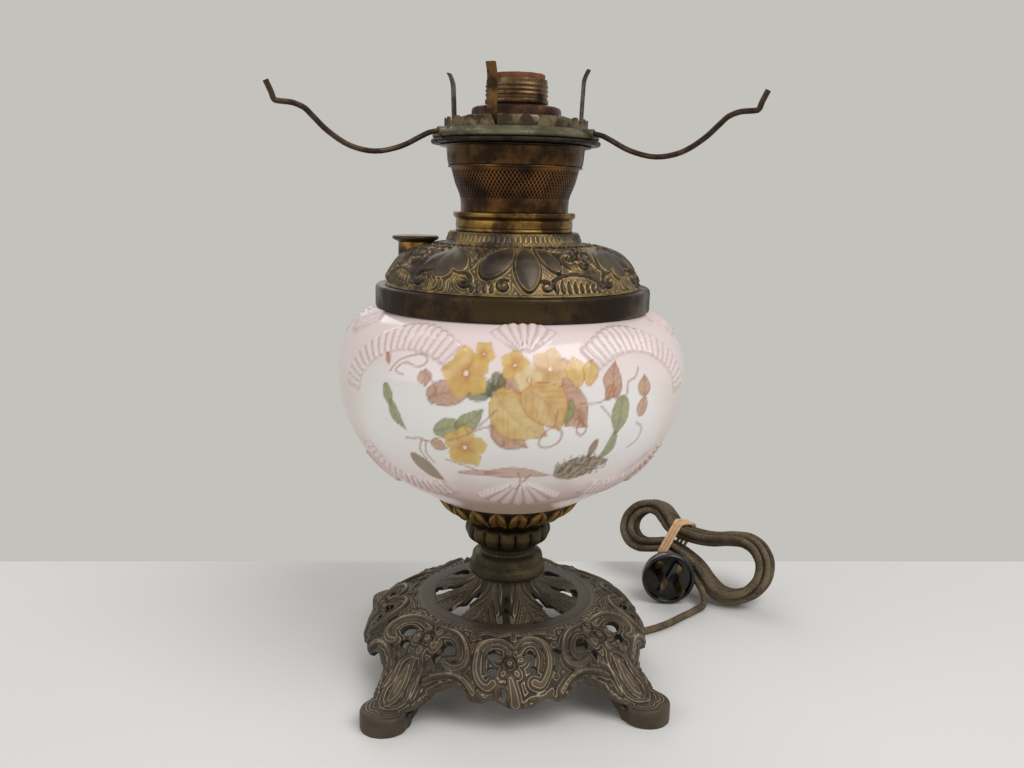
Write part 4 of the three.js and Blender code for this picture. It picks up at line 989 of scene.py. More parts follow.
knop_line = rounded([(0.65, 0), (0.66, 0.16), (0.76, 0.24), (0.92, 0.4), (0.99, 0.58), (1, 0.74), (0.965, 0.9),
                     (0.86, 1)], 5)
knop = scaled(knop_line, knop_radius, knop_height, knop_foot)
shape = turned([(bore, knop_foot), *knop, (bore, knop_foot + knop_height)], 256, 0)


def worked_brass(name, metal, scale, rough, shares, low, high, dark, light, shine):
    """Brass that is dark in the hollows of its raised work, and uneven."""
    material, tone = finish(name, Metallic=metal)
    stain = tone.cloud(scale, 4, rough)
    lift = (tone.mark("relief") * shares[0] + stain * shares[1]).between(low, high)
    lift.blend(ink(dark), ink(light)).into("Base Color")
    (stain * 0.3 + shine).into("Roughness")
    stain.bump(0.5, 0.0003)
    return material


def gadroon(place):
    """Round lobes on the knop's upper part, and fine reeds round its neck."""
    radius, turn = around(place)
    height = (place.z - knop_foot) / knop_height
    lobe = abs(math.cos(gadroons / 2 * turn)) ** 0.6
    swell = eased(height, 0.25, 0.42) * (1 - eased(height, 0.86, 1)) * eased(radius, 14, 17)
    neck = eased(height, 0.02, 0.06) * (1 - eased(height, 0.17, 0.22)) * eased(radius, 12, 14)
    reed = 0.35 * math.cos(reeds * turn) * neck
    return -1.7 * (1 - lobe) * swell + reed, lobe * swell + 0.5 * (1 - swell)


raise_by(shape, gadroon)
knop_finish = worked_brass("knop_brass", 0.7, 80, 0.6, (0.6, 0.8), 0.45, 1.0, "15100a", "47391f", 0.3)
piece("knop", shape, knop_finish, "olive_brass", "lamp_body", "stem_knop")

cup_line = rounded([(0.52, 0), (0.58, 0.1), (0.72, 0.33), (0.906, 0.6), (0.985, 0.85), (1, 1)], 8)
cup = scaled(cup_line, cup_radius, cup_height, cup_foot)
shape = turned([
    (5.3, cup_foot), *cup, (37.3, cup_foot + cup_height), (33.6, cup_foot + 9.7),
    (26, cup_foot + 5.5), (5.3, cup_foot + 5.5),
], 360, 0)


def cup_work(place):
    """Upright pointed leaves with a dark leaf between each two."""
    radius, turn = around(place)
    up = (place.z - cup_foot) / cup_height
    if radius < cup_radius * lerp(0.5, 0.93, up) - 1:
        return 0, 0.5
    leaves = turn * cup_leaves / (2 * math.pi)
    side = abs(leaves % 1 - 0.5) * 2
    low_side = abs((leaves + 0.5) % 1 - 0.5) * 2
    reach = 0.86 * math.sqrt(max(1 - eased(up, 0.35, 1.02) ** 2, 0))
    inside = eased(reach - side, -0.08, 0.1) * eased(up, 0.3, 0.36)
    low = eased(0.9 * (0.5 - up) / 0.4 + 0.1 - low_side, -0.1, 0.15) * (1 - eased(up, 0.42, 0.5))
    vein = 0.5 * math.exp(-((side / 0.12) ** 2)) * inside
    height = 1.1 * inside - 0.6 * (1 - inside) * eased(up, 0.3, 0.4) + 0.8 * low - vein
    return height, inside * (1 - 0.6 * (vein > 0.2))


raise_by(shape, cup_work)
cup_finish = worked_brass("cup_brass", 0.8, 260, 0.7, (0.7, 1.1), 0.55, 1.25, "241a10", "8d6c33", 0.28)
piece("cup_of_leaves", shape, cup_finish, "gold_brass", "lamp_body", "leaf_cup")


# Glass body: opal glass blown in a mould, with ribbed shells in relief, shaded
# pink from both ends and printed with a spray of flowers and leaves.

glass_foot, glass_height, glass_radius, glass_wall = 94.6, 120, 93.7, 3.2
neck_radius = 0.738 * glass_radius
glass_top, cup_line_top = glass_foot + glass_height, glass_foot + 8.4
rod_hole, inner_skip = 8.5, 9
glass_shares = [
    (0.573, 0.131), (0.708, 0.194), (0.8, 0.259), (0.882, 0.341), (0.947, 0.438), (0.988, 0.542), (1, 0.644),
    (0.994, 0.723), (0.954, 0.812), (0.884, 0.884), (0.79, 0.929), (0.745, 0.938), (0.738, 0.955), (0.738, 1),
]
glass_fine, glass_coarse = 264, 300
front_turn = math.radians(63)
shell_period, shell_start, shell_rise = math.radians(72), math.radians(4), 1.25


def wall_inward(line, wall):
    """A line moved square to itself, inwards for one that runs up the outside."""
    made = []
    for at, (radius, height) in enumerate(line):
        before = line[max(at - 1, 0)]
        after = line[min(at + 1, len(line) - 1)]
        run = Vector((after[0] - before[0], after[1] - before[1])).normalized()
        made.append((radius - run.y * wall, height + run.x * wall))
    return made


outer = scaled(rounded([(0.446, 0.07), *glass_shares], 40), glass_radius, glass_height, glass_foot)
foot_line = [(rod_hole, glass_foot), (26, glass_foot), (33, glass_foot + 4.6), (35.7, glass_foot + 8.1)]
outside = rounded(foot_line, 4)
for place in outer:
    step = 0.8 if 130 < place[1] < 207 else 1.3
    if place[1] > cup_line_top and math.dist(place, outside[-1]) > step:
        outside.append(place)
inside = wall_inward(outside, glass_wall)[::inner_skip][::-1]
inside = [place for place in inside if glass_foot + glass_wall < place[1] < glass_top - 2]
outline = [*outside, (neck_radius - glass_wall, glass_top), *inside, (rod_hole, glass_foot + glass_wall)]


def ribbed(across, up, wide, high, thick, ribs, reach):
    """The height of a ribbed arc or fan, of half axes wide and high, that reaches so far from upright."""
    place = math.hypot(across / wide, up / high)
    turn = math.atan2(up / high, across / wide) - math.pi / 2
    side = eased(reach - abs(turn), 0, 0.1)
    band = eased(place, 1 - thick, 1 - thick + 0.05) * (1 - eased(place, 1, 1.05))
    rib = abs(math.sin(ribs * turn / 2 + math.pi / 2)) ** 0.8
    return side * band * (0.15 + 0.85 * rib)


def shell_work(place):
    """Large shell arcs, high and low, with a small fan between each two."""
    radius, turn = around(place)
    if radius < 36 or place.z < glass_foot + 8:
        return 0, 0
    whole = (turn - shell_start) % (2 * math.pi)
    turn = whole % shell_period
    middle = (turn - shell_period / 2) * 88
    nearest = (turn if turn < shell_period / 2 else turn - shell_period) * 84
    far = (middle > 0) == (whole < math.pi)
    height = max(
        ribbed(middle, place.z - 168, 43, 36, 0.3, 56, 1.5 if far else 0.75),
        ribbed(middle, 150 - place.z, 43, 29, 0.28, 56, 1.35 if far else 0.5),
        ribbed(nearest, place.z - 194.6, 21, 13, 0.84, 24, 0.9),
        ribbed(nearest, 134 - place.z, 30, 17, 0.84, 24, 0.95),
    )
    return shell_rise * height, height


shape = bmesh.new()
points = [shape.verts.new(standing(radius, -front_turn, height)) for radius, height in outline]
edges = [shape.edges.new(pair) for pair in zip(points, points[1:] + points[:1])]
front_end = spin(shape, points + edges, 2 * front_turn, glass_fine, False)
spin(shape, front_end, 2 * math.pi - 2 * front_turn, glass_coarse, False)
bmesh.ops.remove_doubles(shape, verts=shape.verts, dist=0.001)
bmesh.ops.recalc_face_normals(shape, faces=shape.faces)
raise_by(shape, shell_work)

opal_pink, opal_tan_and_shade, opal_white, groove_tan = ink("e7d5d4"), ink("cba797"), ink("e9e7e5"), ink("b08d7e")


class Print:
    """A print on the glass: colours laid on its points one shape over the other."""

    spread = 1.6

    def __init__(self, shape):
        self.layer = shape.verts.layers.float_color.new("print")
        self.spots = []
        raised = shape.verts.layers.float["relief"]
        for vert in shape.verts:
            radius, turn = around(vert.co)
            turn, up = math.degrees(turn), vert.co.z
            # Darker tan towards the bottom, and painted shade on the left and right of the front half, where
            # the bowl curves away. The side shade raises both the pink share and the tan share there.
            side = eased(abs(turn), 38, 66) * (1 - eased(abs(turn), 84, 115))
            cloudy = noise.noise(vert.co * 0.03) * 0.25
            pink = 1 - eased(up, 118, 156) + eased(up, 170, 198) + cloudy * 0.5 + side * 0.45
            groove = 0.5 * eased(vert[raised], 0.1, 0.3) * (1 - eased(vert[raised], 0.35, 0.7))
            tan_low_and_side_shade = max(0.8 * (1 - eased(up, 106, 134)), 0.75 * side * (1 - eased(up, 168, 184)))
            colour = self.mixed(opal_white, self.mixed(opal_pink, opal_tan_and_shade, tan_low_and_side_shade), min(max(pink, 0), 1))
            vert[self.layer] = (*self.mixed(colour, groove_tan, groove), 1)
            if radius > 60 and abs(turn) < 62:
                self.spots.append((turn * self.spread, up, vert))

    def mixed(self, first, second, share):
        return [lerp(a, b, share) for a, b in zip(first, second)]

    def lay(self, vert, colour, share):
        if share > 0:
            vert[self.layer] = (*self.mixed(vert[self.layer][:3], colour, share), 1)

    def leaf(self, turn, up, length, half, angle, bend, colour, shade, strength=0.85, tip=0.8, veins=0.6,
             heart=0.0):
        """A leaf or a petal from its stalk, with a rib, side veins and a darker edge."""
        angle = math.radians(angle)
        run, side = (math.cos(angle), math.sin(angle)), (-math.sin(angle), math.cos(angle))
        for x, y, vert in self.spots:
            dx, dy = x - turn * self.spread, y - up
            if max(abs(dx), abs(dy)) > length + half:
                continue
            share = (dx * run[0] + dy * run[1]) / length
            if not 0 < share < 1:
                continue
            across = dx * side[0] + dy * side[1] - bend * math.sin(math.pi * share)
            ruffle = 0.5 * noise.noise(vert.co * 0.3)
            waist = math.sin(math.pi * share)
            width = half * math.sin(math.pi * share**tip) ** lerp(0.55, 1.25, share) + ruffle * waist
            inside = eased(width - abs(across), -0.35, 0.35)
            if inside <= 0:
                continue
            line = 1 - eased(width - abs(across), 0.2, 1.1)
            rib = 1 - eased(abs(across), 0.2, 0.7)
            fold = (share * length - abs(across) * 0.9) % 3.6
            rib = max(rib, 0.7 * (1 - eased(min(fold, 3.6 - fold), 0.15, 0.65)))
            dapple = 0.5 + noise.noise(vert.co * 0.25)
            dark = max((0.8 - 0.5 * heart) * line, veins * rib, heart * (1 - share) ** 2)
            tone = min(dark + 0.35 * dapple, 1)
            self.lay(vert, [lerp(c, s, tone) for c, s in zip(colour, shade)], inside * strength)

    def blossom(self, turn, up, radius, colour, shade, start):
        """An open flower of five broad petals with a small light eye."""
        for at in range(5):
            self.leaf(turn, up, radius, radius * 0.4, start + 72 * at, 0, colour, shade, 0.9, 1.3, 0.2, 0.9)
        self.dot(turn, up, radius * 0.16, ink("b5623c"), 0.7)
        self.dot(turn, up, radius * 0.1, ink("f0e4cc"))

    def dot(self, turn, up, radius, colour, strength=0.9):
        for x, y, vert in self.spots:
            inside = 1 - eased(math.hypot(x - turn * self.spread, y - up), radius * 0.6, radius * 1.25)
            self.lay(vert, colour, inside * strength)

    def vine(self, points, half, colour):
        """A thin line through points."""
        line = rounded([(turn * self.spread, up) for turn, up in points], 10)
        low = [min(p[k] for p in line) - 1 for k in (0, 1)]
        high = [max(p[k] for p in line) + 1 for k in (0, 1)]
        for x, y, vert in self.spots:
            if low[0] < x < high[0] and low[1] < y < high[1]:
                near = min(math.hypot(x - a, y - b) for a, b in line)
                self.lay(vert, colour, (1 - eased(near, half * 0.5, half * 1.6)) * 0.7)


yellow, gold, peach, rust = ink("dcbd70"), ink("bd853c"), ink("c59877"), ink("98644a")
green, moss, dark_moss = ink("9a9a5f"), ink("6b6c3e"), ink("4c4d30")
pale_gold, stalk = ink("e3d6ac"), ink("a3745c")
heart_gold, heart_tan = ink("d6bc76"), ink("d5b476")
low_brown, bush_green, bush_dark = ink("c09376"), ink("978058"), ink("6d5738")
bush_inks, bush_edge = (ink("77693c"), ink("94634a"), ink("5f5633")), ink("54482c")
bush_blades = 90
spray = Print(shape)

# Leaves, from the lowest layer up: turn and height of the stalk in degrees and
# millimetres, then length, half width, angle and bend.
for colour, shade, strength, veins, leaves in (
    (low_brown, rust, 0.7, 0, ((-17, 136.6, 26, 1.6, 4, 0), (-8, 137.4, 36, 3.0, -2, 1.4))),
    (peach, rust, 0.85, 0.6, (
        (-26, 186.4, 8, 3.8, -74, 0), (-41, 192, 7, 1.4, -60, 0), (-24.5, 175, 26, 6.4, 16, -1),
        (31, 174, 18, 5.4, 80, 1.5), (28.5, 174, 9, 2.8, 60, 0), (42, 163, 12, 3.6, 76, 0),
        (43, 173, 11, 4.6, 84, 0), (-5, 165.5, 22, 6.4, -38, -2), (11, 181, 28, 9.5, -46, 0),
        (-3, 187, 16, 5.0, -46, 0), (15.5, 194, 17, 6.0, -100, 1),
    )),
    (green, moss, 0.85, 0.6, (
        (-39.5, 178, 13, 3.0, -72, 0), (-37.5, 170.5, 17, 3.0, -58, -1.5),
        (-22.5, 157.5, 19, 4.8, 14, 1), (-15.6, 160.5, 17, 4.2, 38, -1),
    )),
    (moss, rust, 0.85, 0.6, ((-33, 143.5, 22, 4.6, -40, 0),)),
    (green, moss, 0.85, 0.6, ((34.5, 175.5, 21, 5.2, -96, 0), (33, 158, 18, 3.0, -118, 3))),
    (moss, dark_moss, 0.75, 0.6, ((-12.5, 177, 15, 5.0, 18, 0), (-4.5, 187.5, 13, 3.6, -70, 0))),
    (green, moss, 0.85, 0.6, ((2, 175, 20, 2.4, 30, 2), (8, 180, 9, 2.6, 10, 0), (17, 175.5, 13, 3.2, -96, 0))),
    (peach, rust, 0.85, 0.6, ((19.5, 171, 10, 1.8, -70, 0),)),
    (moss, rust, 0.85, 0.6, ((27, 155, 12, 2.2, -108, 0),)),
    (peach, rust, 0.85, 0.6, ((-17.5, 150, 13, 4.2, -34, 0), (-24, 152.5, 9, 3.2, -20, 0))),
    (moss, dark_moss, 0.7, 0, [(-5, 176, 10, 0.6, 20 + 17 * at, 0) for at in range(9)]),
):
    for leaf in leaves:
        spray.leaf(*leaf, colour, shade, strength, veins=veins)
for turn, up, radius, colour, shade, start in (
    (-12.8, 186.4, 12.5, yellow, gold, 104), (-8.2, 195, 6, yellow, gold, 60),
    (1.2, 190.6, 7.5, yellow, gold, 80), (11.4, 189, 10, ink("dcc092"), gold, 70),
    (5.2, 184.4, 7, pale_gold, ink("cfa676"), 95),
):
    spray.blossom(turn, up, radius, colour, shade, start)
for leaf in ((19.8, 180.5, 14, 5.6, 98, 0), (22.5, 180.5, 13, 4.2, 74, 0)):
    spray.leaf(*leaf, yellow, gold, 0.9, 1.2, 0.3)
spray.blossom(-13.2, 151.2, 11.5, ink("dcc06a"), gold, 84)
spray.leaf(-4.4, 178.5, 33, 10.5, -40, -3.4, heart_gold, ink("bb8247"), 0.9, 0.8, 0.4)
spray.leaf(4.2, 181, 27, 10.2, -52, 3.2, heart_tan, ink("bb7c48"), 0.9, 0.8, 0.4)
for points in (
    [(-38, 184), (-35.5, 189), (-31, 192), (-27, 193), (-25.5, 190), (-28, 187.5), (-33, 188.5),
     (-36, 184.5), (-33, 183)],
    [(-25, 184.5), (-22, 180), (-21.5, 175.5), (-24, 173.5), (-22.5, 171)],
    [(-33, 152), (-28, 153), (-24.5, 152)], [(-27, 153), (-28.5, 147), (-27, 142.5)],
    [(-25.5, 152.5), (-26.5, 146), (-24.5, 141)],
    [(-18, 154), (-12, 158), (-7, 165), (-4, 170)], [(-12, 158), (-13, 163)], [(-10, 160), (-5, 163)],
    [(20, 173), (25, 172.5), (30, 175), (34, 173)], [(36, 176), (36.5, 181), (39.5, 183), (41.5, 187)],
    [(41, 160.5), (44, 157), (43.5, 151), (40, 147.5)], [(27, 171), (30, 166), (32, 162)],
    [(12.5, 163), (10, 159.5), (8.5, 154), (11, 152), (14.5, 155), (15, 160), (13, 163), (13.5, 170)],
    [(17.5, 167), (21, 164), (22.5, 160), (21, 157.5), (19.5, 160), (20, 164)],
    [(-4.5, 163), (-5, 157), (-2, 152.5), (-1.5, 155)], [(-20, 143.5), (-14, 141), (-10, 138.6)],
    [(3, 138), (4, 132), (2.5, 128.5)], [(7, 137), (5, 133)],
):
    spray.vine(points, 0.5, stalk)
spray.leaf(14.5, 137.4, 31, 6.2, 10, 0, bush_green, bush_dark, 0.8, 0.8, 0.2)
for at in range(bush_blades):
    angle, reach = at * 2.4, math.sqrt(at / bush_blades)
    place = (23.5 + 9.5 * reach * math.cos(angle), 139.6 + 6.2 * reach * math.sin(angle))
    spray.leaf(*place, 3.2, 0.5, 60 + 60 * math.sin(at * 1.7), 0, bush_inks[at % 3], bush_edge, 0.75, 0.8, 0)

opal_finish, tone = finish("opal_glass", Roughness=0.17, Coat_Weight=0.2, Coat_Roughness=0.12, IOR=1.5)
tone.mark("print", "Color").into("Base Color")
piece("glass_bowl", shape, opal_finish, "pink_glass", "lamp_body", "glass_body")


# Rim band: a plain spun band of brown brass that closes the glass's edge and
# carries the tank and the crown on its ledge.

band_radius, band_foot, band_top, band_ledge = 73.7, 207.3, 219.0, 64.0
band_brass = old_brass("band_brass", "453620", "2a2016", 0.3, 0.8, 45)
shape = turned([
    (69.55, band_foot), (73.3, band_foot), (band_radius, 208.2), (band_radius, 216.8), (73.5, 218.2),
    (72.6, band_top), (band_ledge, band_top), (band_ledge, 214.9), (69.55, 214.9),
], 192, 0.25)
piece("band", shape, band_brass, "dark_brass", "lamp_body", "rim_band")


# Crown: pressed from thin sheet in high relief, large smooth shells and scrolls
# in turn, darkened, with the gilding left in the hollows and along the lines.

crown_radius, crown_height, crown_foot, crown_wall, crown_columns = 68.7, 28, 219.3, 1.2, 600
crown_shares = [
    (1, 0), (0.98, 0.093), (0.939, 0.282), (0.885, 0.471), (0.803, 0.632), (0.67, 0.746),
    (0.555, 0.793), (0.518, 0.868), (0.502, 1),
]
crown_period, crown_start, crown_plane, crown_flutes = 90, 12, 62, 84
shell_places = 48.7

# Its plane runs across from the middle of a period, and up from the rim band.
crown_work, crown_fine = Ornament(), Ornament()
crown_work.leaf(-6, 4.2, 31, 7.0, 89, 0, 2.3)
crown_work.leaf(-26.5, 11, 28, 7.4, 56, 0, 2.3)
crown_work.leaf(9.0, 13.5, 22, 4.8, 112, 0, 1.9)
for middle in (-shell_places, shell_places):
    crown_work.leaf(middle, 10, 27, 8.6, 90, 0, 2.5)
    crown_work.leaf(middle - 11, 13.5, 23, 6.8, 62, 0, 2.2)
    crown_work.leaf(middle + 11, 13.5, 23, 6.8, 118, 0, 2.2)
    crown_fine.curl(middle - 10.5, 7.2, 4.6, 100, 300, 1.2, 1.8)
    crown_fine.curl(middle + 11.5, 7.6, 4.6, 80, -300, 1.2, 1.8)
    crown_fine.leaf(middle, 1.5, 8, 2.2, 90, 0, 1.4)
for across, up, radius, start, sweep in (
    (17, 23, 5.6, 200, -330), (24, 17.5, 4.2, 120, -320), (-17.5, 5.6, 3.6, 60, 320),
    (2.4, 5.4, 3.2, 120, -320),
):
    crown_fine.curl(across, up, radius, start, sweep, 1.1, 1.7)
crown_fine.flower(26.5, 27, 5.6, 5, 1.6)
for points, half in (
    ([(6, 8.4), (12, 11.4), (20, 11.8), (28, 9.6), (33.5, 4.5)], (0.9, 1.2)),
    ([(9, 33.5), (15, 31.5), (21, 33), (27, 34), (33, 32)], (1.0, 0.8)),
    ([(-24.5, 32.5), (-20.5, 28), (-20.5, 34)], (0.8, 0.8)), ([(10.5, 27), (12, 20), (16, 15.4)], (1.0, 0.8)),
    ([(-33, 31), (-30.5, 24), (-33.5, 16)], (1.2, 0.9)), ([(32, 28), (31, 21), (34, 15)], (1.2, 0.9)),
):
    crown_fine.row(points, half, (1.4, 1.2))
for at in range(8):
    crown_fine.leaf(7.5 + 3.3 * at, 1.6, 8 - 0.45 * at, 1.1, 100, -18, 1.5)
for at in range(4):
    crown_fine.leaf(-33 + 3.2 * at, 1.6, 5.5, 1.0, 84, 0, 1.2)
for at in range(-12, 13):
    crown_fine.leaf(4 * at, 36.4, 4.2, 1.3, 90 + 35 * (-1) ** at, 0, 1.2)
crown_work.ready()
crown_fine.ready()


def crown_relief(place):
    """The shells and scrolls of the crown's side, and the fine flutes of its neck."""
    radius, turn = around(place)
    turn = math.degrees(turn) - crown_start
    spread = (turn + crown_period / 2) % crown_period - crown_period / 2
    up = (crown_radius - radius) * 0.75 + (place.z - crown_foot) * 0.75
    across = math.radians(spread) * lerp(radius, crown_plane, 0.5)
    height, apart = crown_work.rise(across, up)
    small, near = crown_fine.rise(across, up)
    mid = eased(place.z, crown_foot + 0.3, crown_foot + 1.6) * eased(radius, 36.4, 37.6)
    neck = eased(place.z, 242.4, 243.4) * (1 - eased(place.z, 246, 246.8)) * (1 - mid)
    flute = 0.45 * math.cos(math.radians(turn) * crown_flutes + noise.noise(place * 0.3)) * neck
    return (max(height, small) - 0.5) * mid + flute, lerp(1.0 + flute, min(apart, near), mid)


shape = sheet(scaled(rounded(crown_shares, 9), crown_radius, crown_height, crown_foot), crown_columns)
raise_by(shape, crown_relief, "edge")
bmesh.ops.solidify(shape, geom=shape.faces, thickness=crown_wall)
joined(shape, turned([(26, 246.1), (34.4, 246.1), (34.4, 247.3), (26, 247.3)], 96, 0.3))

crown_finish, tone = finish("crown_bronze", Metallic=0.6)
edge = tone.mark("edge")
patch = tone.cloud(55, 4, 0.6)
lines = fine_lines(edge, 0.45, 1.5, 0.28) * edge.between(-1.7, -1.4) * (1 - edge.between(4.0, 4.8))
hollow = edge.between(-0.1, 0.5) * (1 - edge.between(0.7, 1.6))
gilt = (lines * 0.7 + hollow * 0.45 + edge.between(0, 1) * 0.16) * patch.between(0.34, 0.6) + lines * 0.25
ground = patch.between(0.3, 0.7).blend(ink("352d26"), ink("5a4f41"))
gilt.between(0, 1).blend(ground, ink("b09258")).into("Base Color")
(patch * 0.3 + 0.32).into("Roughness")
(lines * 0.7 + patch * 0.3).bump(0.7, 0.0005)
piece("crown", shape, crown_finish, "crown_bronze", "lamp_body", "crown_shell")


# Collar: a brass ring with turned lines, fixed on the crown's neck, that the
# burner seats on.

collar_brass = old_brass("collar_brass", "8a6b36", "432f1a", 0.28, 0.9, 60)
line = [
    (26.3, 247.6), (31.2, 247.6), (31.2, 248.6), (30.9, 248.9), (30.9, 249.4), (31.2, 249.7), (31.2, 253.2),
    (30.9, 253.5), (31.2, 253.9), (31.9, 254.6), (32.5, 255.3), (32.5, 257.0), (31.9, 257.6), (26.3, 257.6),
]
piece("font_collar", turned(line, 128, 0.12), collar_brass, "gold_brass", "lamp_body", "collar")


# Filler: a short brass neck on the crown's shoulder, and its flat screw cap
# with a turned rim, of darker brass.

filler_place = Matrix.Translation((-52.7, 0, 0))
shape = placed(turned([(7, 231), (9.2, 231), (9.2, 241), (7, 241)], 64, 0.2), filler_place)
piece("filler_pipe", shape, collar_brass, "gold_brass", "lamp_body", "filler_neck")
cap_brass = old_brass("cap_brass", "4a3b28", "241b13", 0.35, 0.8, 60)
shape = placed(turned([
    (0, 242.3), (9.5, 242.3), (9.5, 241.2), (9.8, 241.2), (12.1, 242.4), (12.4, 242.8),
    (12.4, 243.7), (11.7, 244.3), (0, 244.9),
], 64, 0.2), filler_place)
piece("screw_cap", shape, cap_brass, "dark_brass", "filler_cap", "filler_cap")


# Burner: a perforated sheet basket between plain bands, a plain upper shell
# with a rolled lip, and the disc that carries the gallery, painted near black
# for the shade under the tripod ring.

basket_foot, basket_radius, basket_height, basket_top, basket_wall = 257.9, 33.9, 23.2, 281.1, 0.8
hole_rows, hole_columns, hole_edge = 2 * math.pi / 0.0031, 100, 0.0004
holes_low, holes_high = 0.2646, 0.2790
basket_shares = [(0.844, 0), (0.847, 0.18), (0.864, 0.35), (0.938, 0.62), (1, 0.94), (1.047, 0.965), (1.047, 1)]
basket_line = scaled(rounded(basket_shares, 4), basket_radius, basket_height, basket_foot)
inside = [(radius - basket_wall, height) for radius, height in basket_line[-9::-3]]
shape = turned([*basket_line, (32.9, basket_top), *inside], 160, 0)
basket_finish, tone = finish("basket_brass", Metallic=0.85)
height = tone.place(2)
turn = tone.maths("ARCTAN2", tone.place(0), tone.place(1) - axis_place.y)
wave = tone.maths("COSINE", height * hole_rows) * tone.maths("COSINE", turn * hole_columns)
lower = height.between(holes_low, holes_low + hole_edge)
upper = 1 - height.between(holes_high - hole_edge, holes_high)
holes = wave.between(-0.05, 0.25) * lower * upper
stain = tone.cloud(60, 4, 0.6)
metal = stain.between(0.35, 0.65).blend(ink("704a24"), ink("2c1d12"))
holes.blend(metal, ink("120b06")).into("Base Color")
(holes * 0.5 + stain * 0.2 + 0.25).into("Roughness")
(1 - holes).bump(0.8, 0.0005)
piece("basket", shape, basket_finish, "brown_brass", "burner", "burner_basket")

shell_brass = old_brass("shell_brass", "553a1e", "281b10", 0.3, 0.85, 50)
shape = turned([
    (35.3, 281.4), (35.9, 284), (36.2, 287), (36.4, 289.8), (36.9, 290.7), (39.3, 290.8),
    (39.9, 291.1), (39.9, 291.5), (39.6, 291.7), (35.6, 291.7), (35.4, 286), (34.5, 281.4),
], 128, 0.15)
piece("upper_shell", shape, shell_brass, "brown_brass", "burner", "burner_shell")
# The disc's colour is painted shade: brass made near black for the shade under the tripod ring.
disc_painted_shade = old_brass("disc_painted_shade", "2e261b", "15110c", 0.4, 0.7, 60)
shape = turned([
    (24.6, 292), (43.9, 292), (44.5, 292.6), (44.5, 293.7), (43.9, 294.3), (34.4, 294.3), (34.4, 294.9),
    (30.6, 294.9), (30.6, 294.3), (24.6, 294.3),
], 128, 0.15)
piece("gallery_disc", shape, disc_painted_shade, "dark_brass", "burner", "burner_disc")


# Gallery: the seat inside the chimney's foot and the crown of round teeth
# outside it, stamped from thin sheet and gone pale and dull.

gallery_foot = 294.6
tooth_brass = old_brass("tooth_brass", "70634a", "3d321f", 0.42, 0.6, 110)
pale_tin = old_brass("pale_tin", "6b664e", "4a452f", 0.45, 0.5, 90)
shape = turned([
    (29.4, 294.6), (30.2, 294.6), (30.2, 304.4), (29.6, 305.6), (28.6, 305.9), (24.6, 305.9), (24.6, 305.1),
    (28.4, 305.1), (29.4, 304.2),
], 96, 0.1)
piece("seat_ring", shape, tooth_brass, "pale_tin", "burner", "chimney_seat")

tooth_count, tooth_low, tooth_top, ring_top = 24, 299.9, 305.0, 305
outside = [(37.6, height) for height in (gallery_foot, 297, 299, 301, 303, ring_top)]
inside = [(36.8, height) for height in (ring_top, 303, 301, 299, 297)]
shape = turned([(36.8, gallery_foot), *outside, *inside], 480, 0)
for vert in shape.verts:
    side = abs((around(vert.co)[1] * tooth_count / (2 * math.pi)) % 1 - 0.5) * 2
    top = lerp(tooth_low, tooth_top, math.sqrt(max(1 - eased(side, 0.1, 0.85) ** 2, 0)))
    vert.co.z = lerp(gallery_foot, top, (vert.co.z - gallery_foot) / (ring_top - gallery_foot))
piece("toothed_ring", shape, tooth_brass, "pale_tin", "burner", "coronet")


# Prongs: four flat springs that grip the chimney, flared at the top, one clean
# and three darkened.

prong_radius, prong_width, prong_thick, prong_height, prong_flare = 35.2, 5.2, 0.8, 34.8, 3.3
prong_top, prong_turn = gallery_foot + prong_height, -109.5
prong_line = rounded([(0, 0), (0, 0.17), (0.05, 0.4), (0.18, 0.69), (0.33, 0.86), (1, 1)], 6)
clean_spring = old_brass("clean_spring", "6b4d29", "332414", 0.35, 0.8, 90)
dark_spring = old_brass("dark_spring", "645848", "39322a", 0.38, 0.8, 90)
for at, name in enumerate(("front", "right", "back", "left")):
    face = [(prong_radius + out * prong_flare, gallery_foot + up * prong_height) for out, up in prong_line]
    wall = [(r + prong_thick / 2, z) for r, z in face] + [(r - prong_thick / 2, z) for r, z in face[::-1]]
    shape = bmesh.new()
    sides = [[shape.verts.new((r, side * prong_width / 2, z)) for r, z in wall] for side in (-1, 1)]
    edges = [shape.edges.new(pair) for row in sides for pair in zip(row, row[1:] + row[:1])]
    bmesh.ops.bridge_loops(shape, edges=edges)
    for row in sides:
        shape.faces.new(row)
    bmesh.ops.recalc_face_normals(shape, faces=shape.faces)
    tips = [
        edge for edge in shape.edges
        if all(abs(end.co.z - prong_top) < 0.3 for end in edge.verts)
        and abs(edge.verts[0].co.y - edge.verts[1].co.y) < 0.1
    ]
    round_off(shape, tips, 2.4, 6)
    soften(shape, 0.12, 1)
    placed(shape, Matrix.Rotation(math.radians(prong_turn + 90 * at), 4, "Z"))
    spring = dark_spring if at else clean_spring
    piece("spring_" + name, shape, spring, "brown_brass", "prong_" + name, f"prong_{at + 1}")


# Tripod: a loose ring round the gallery with three lugs, each with a bent wire
# arm that carries a shade.

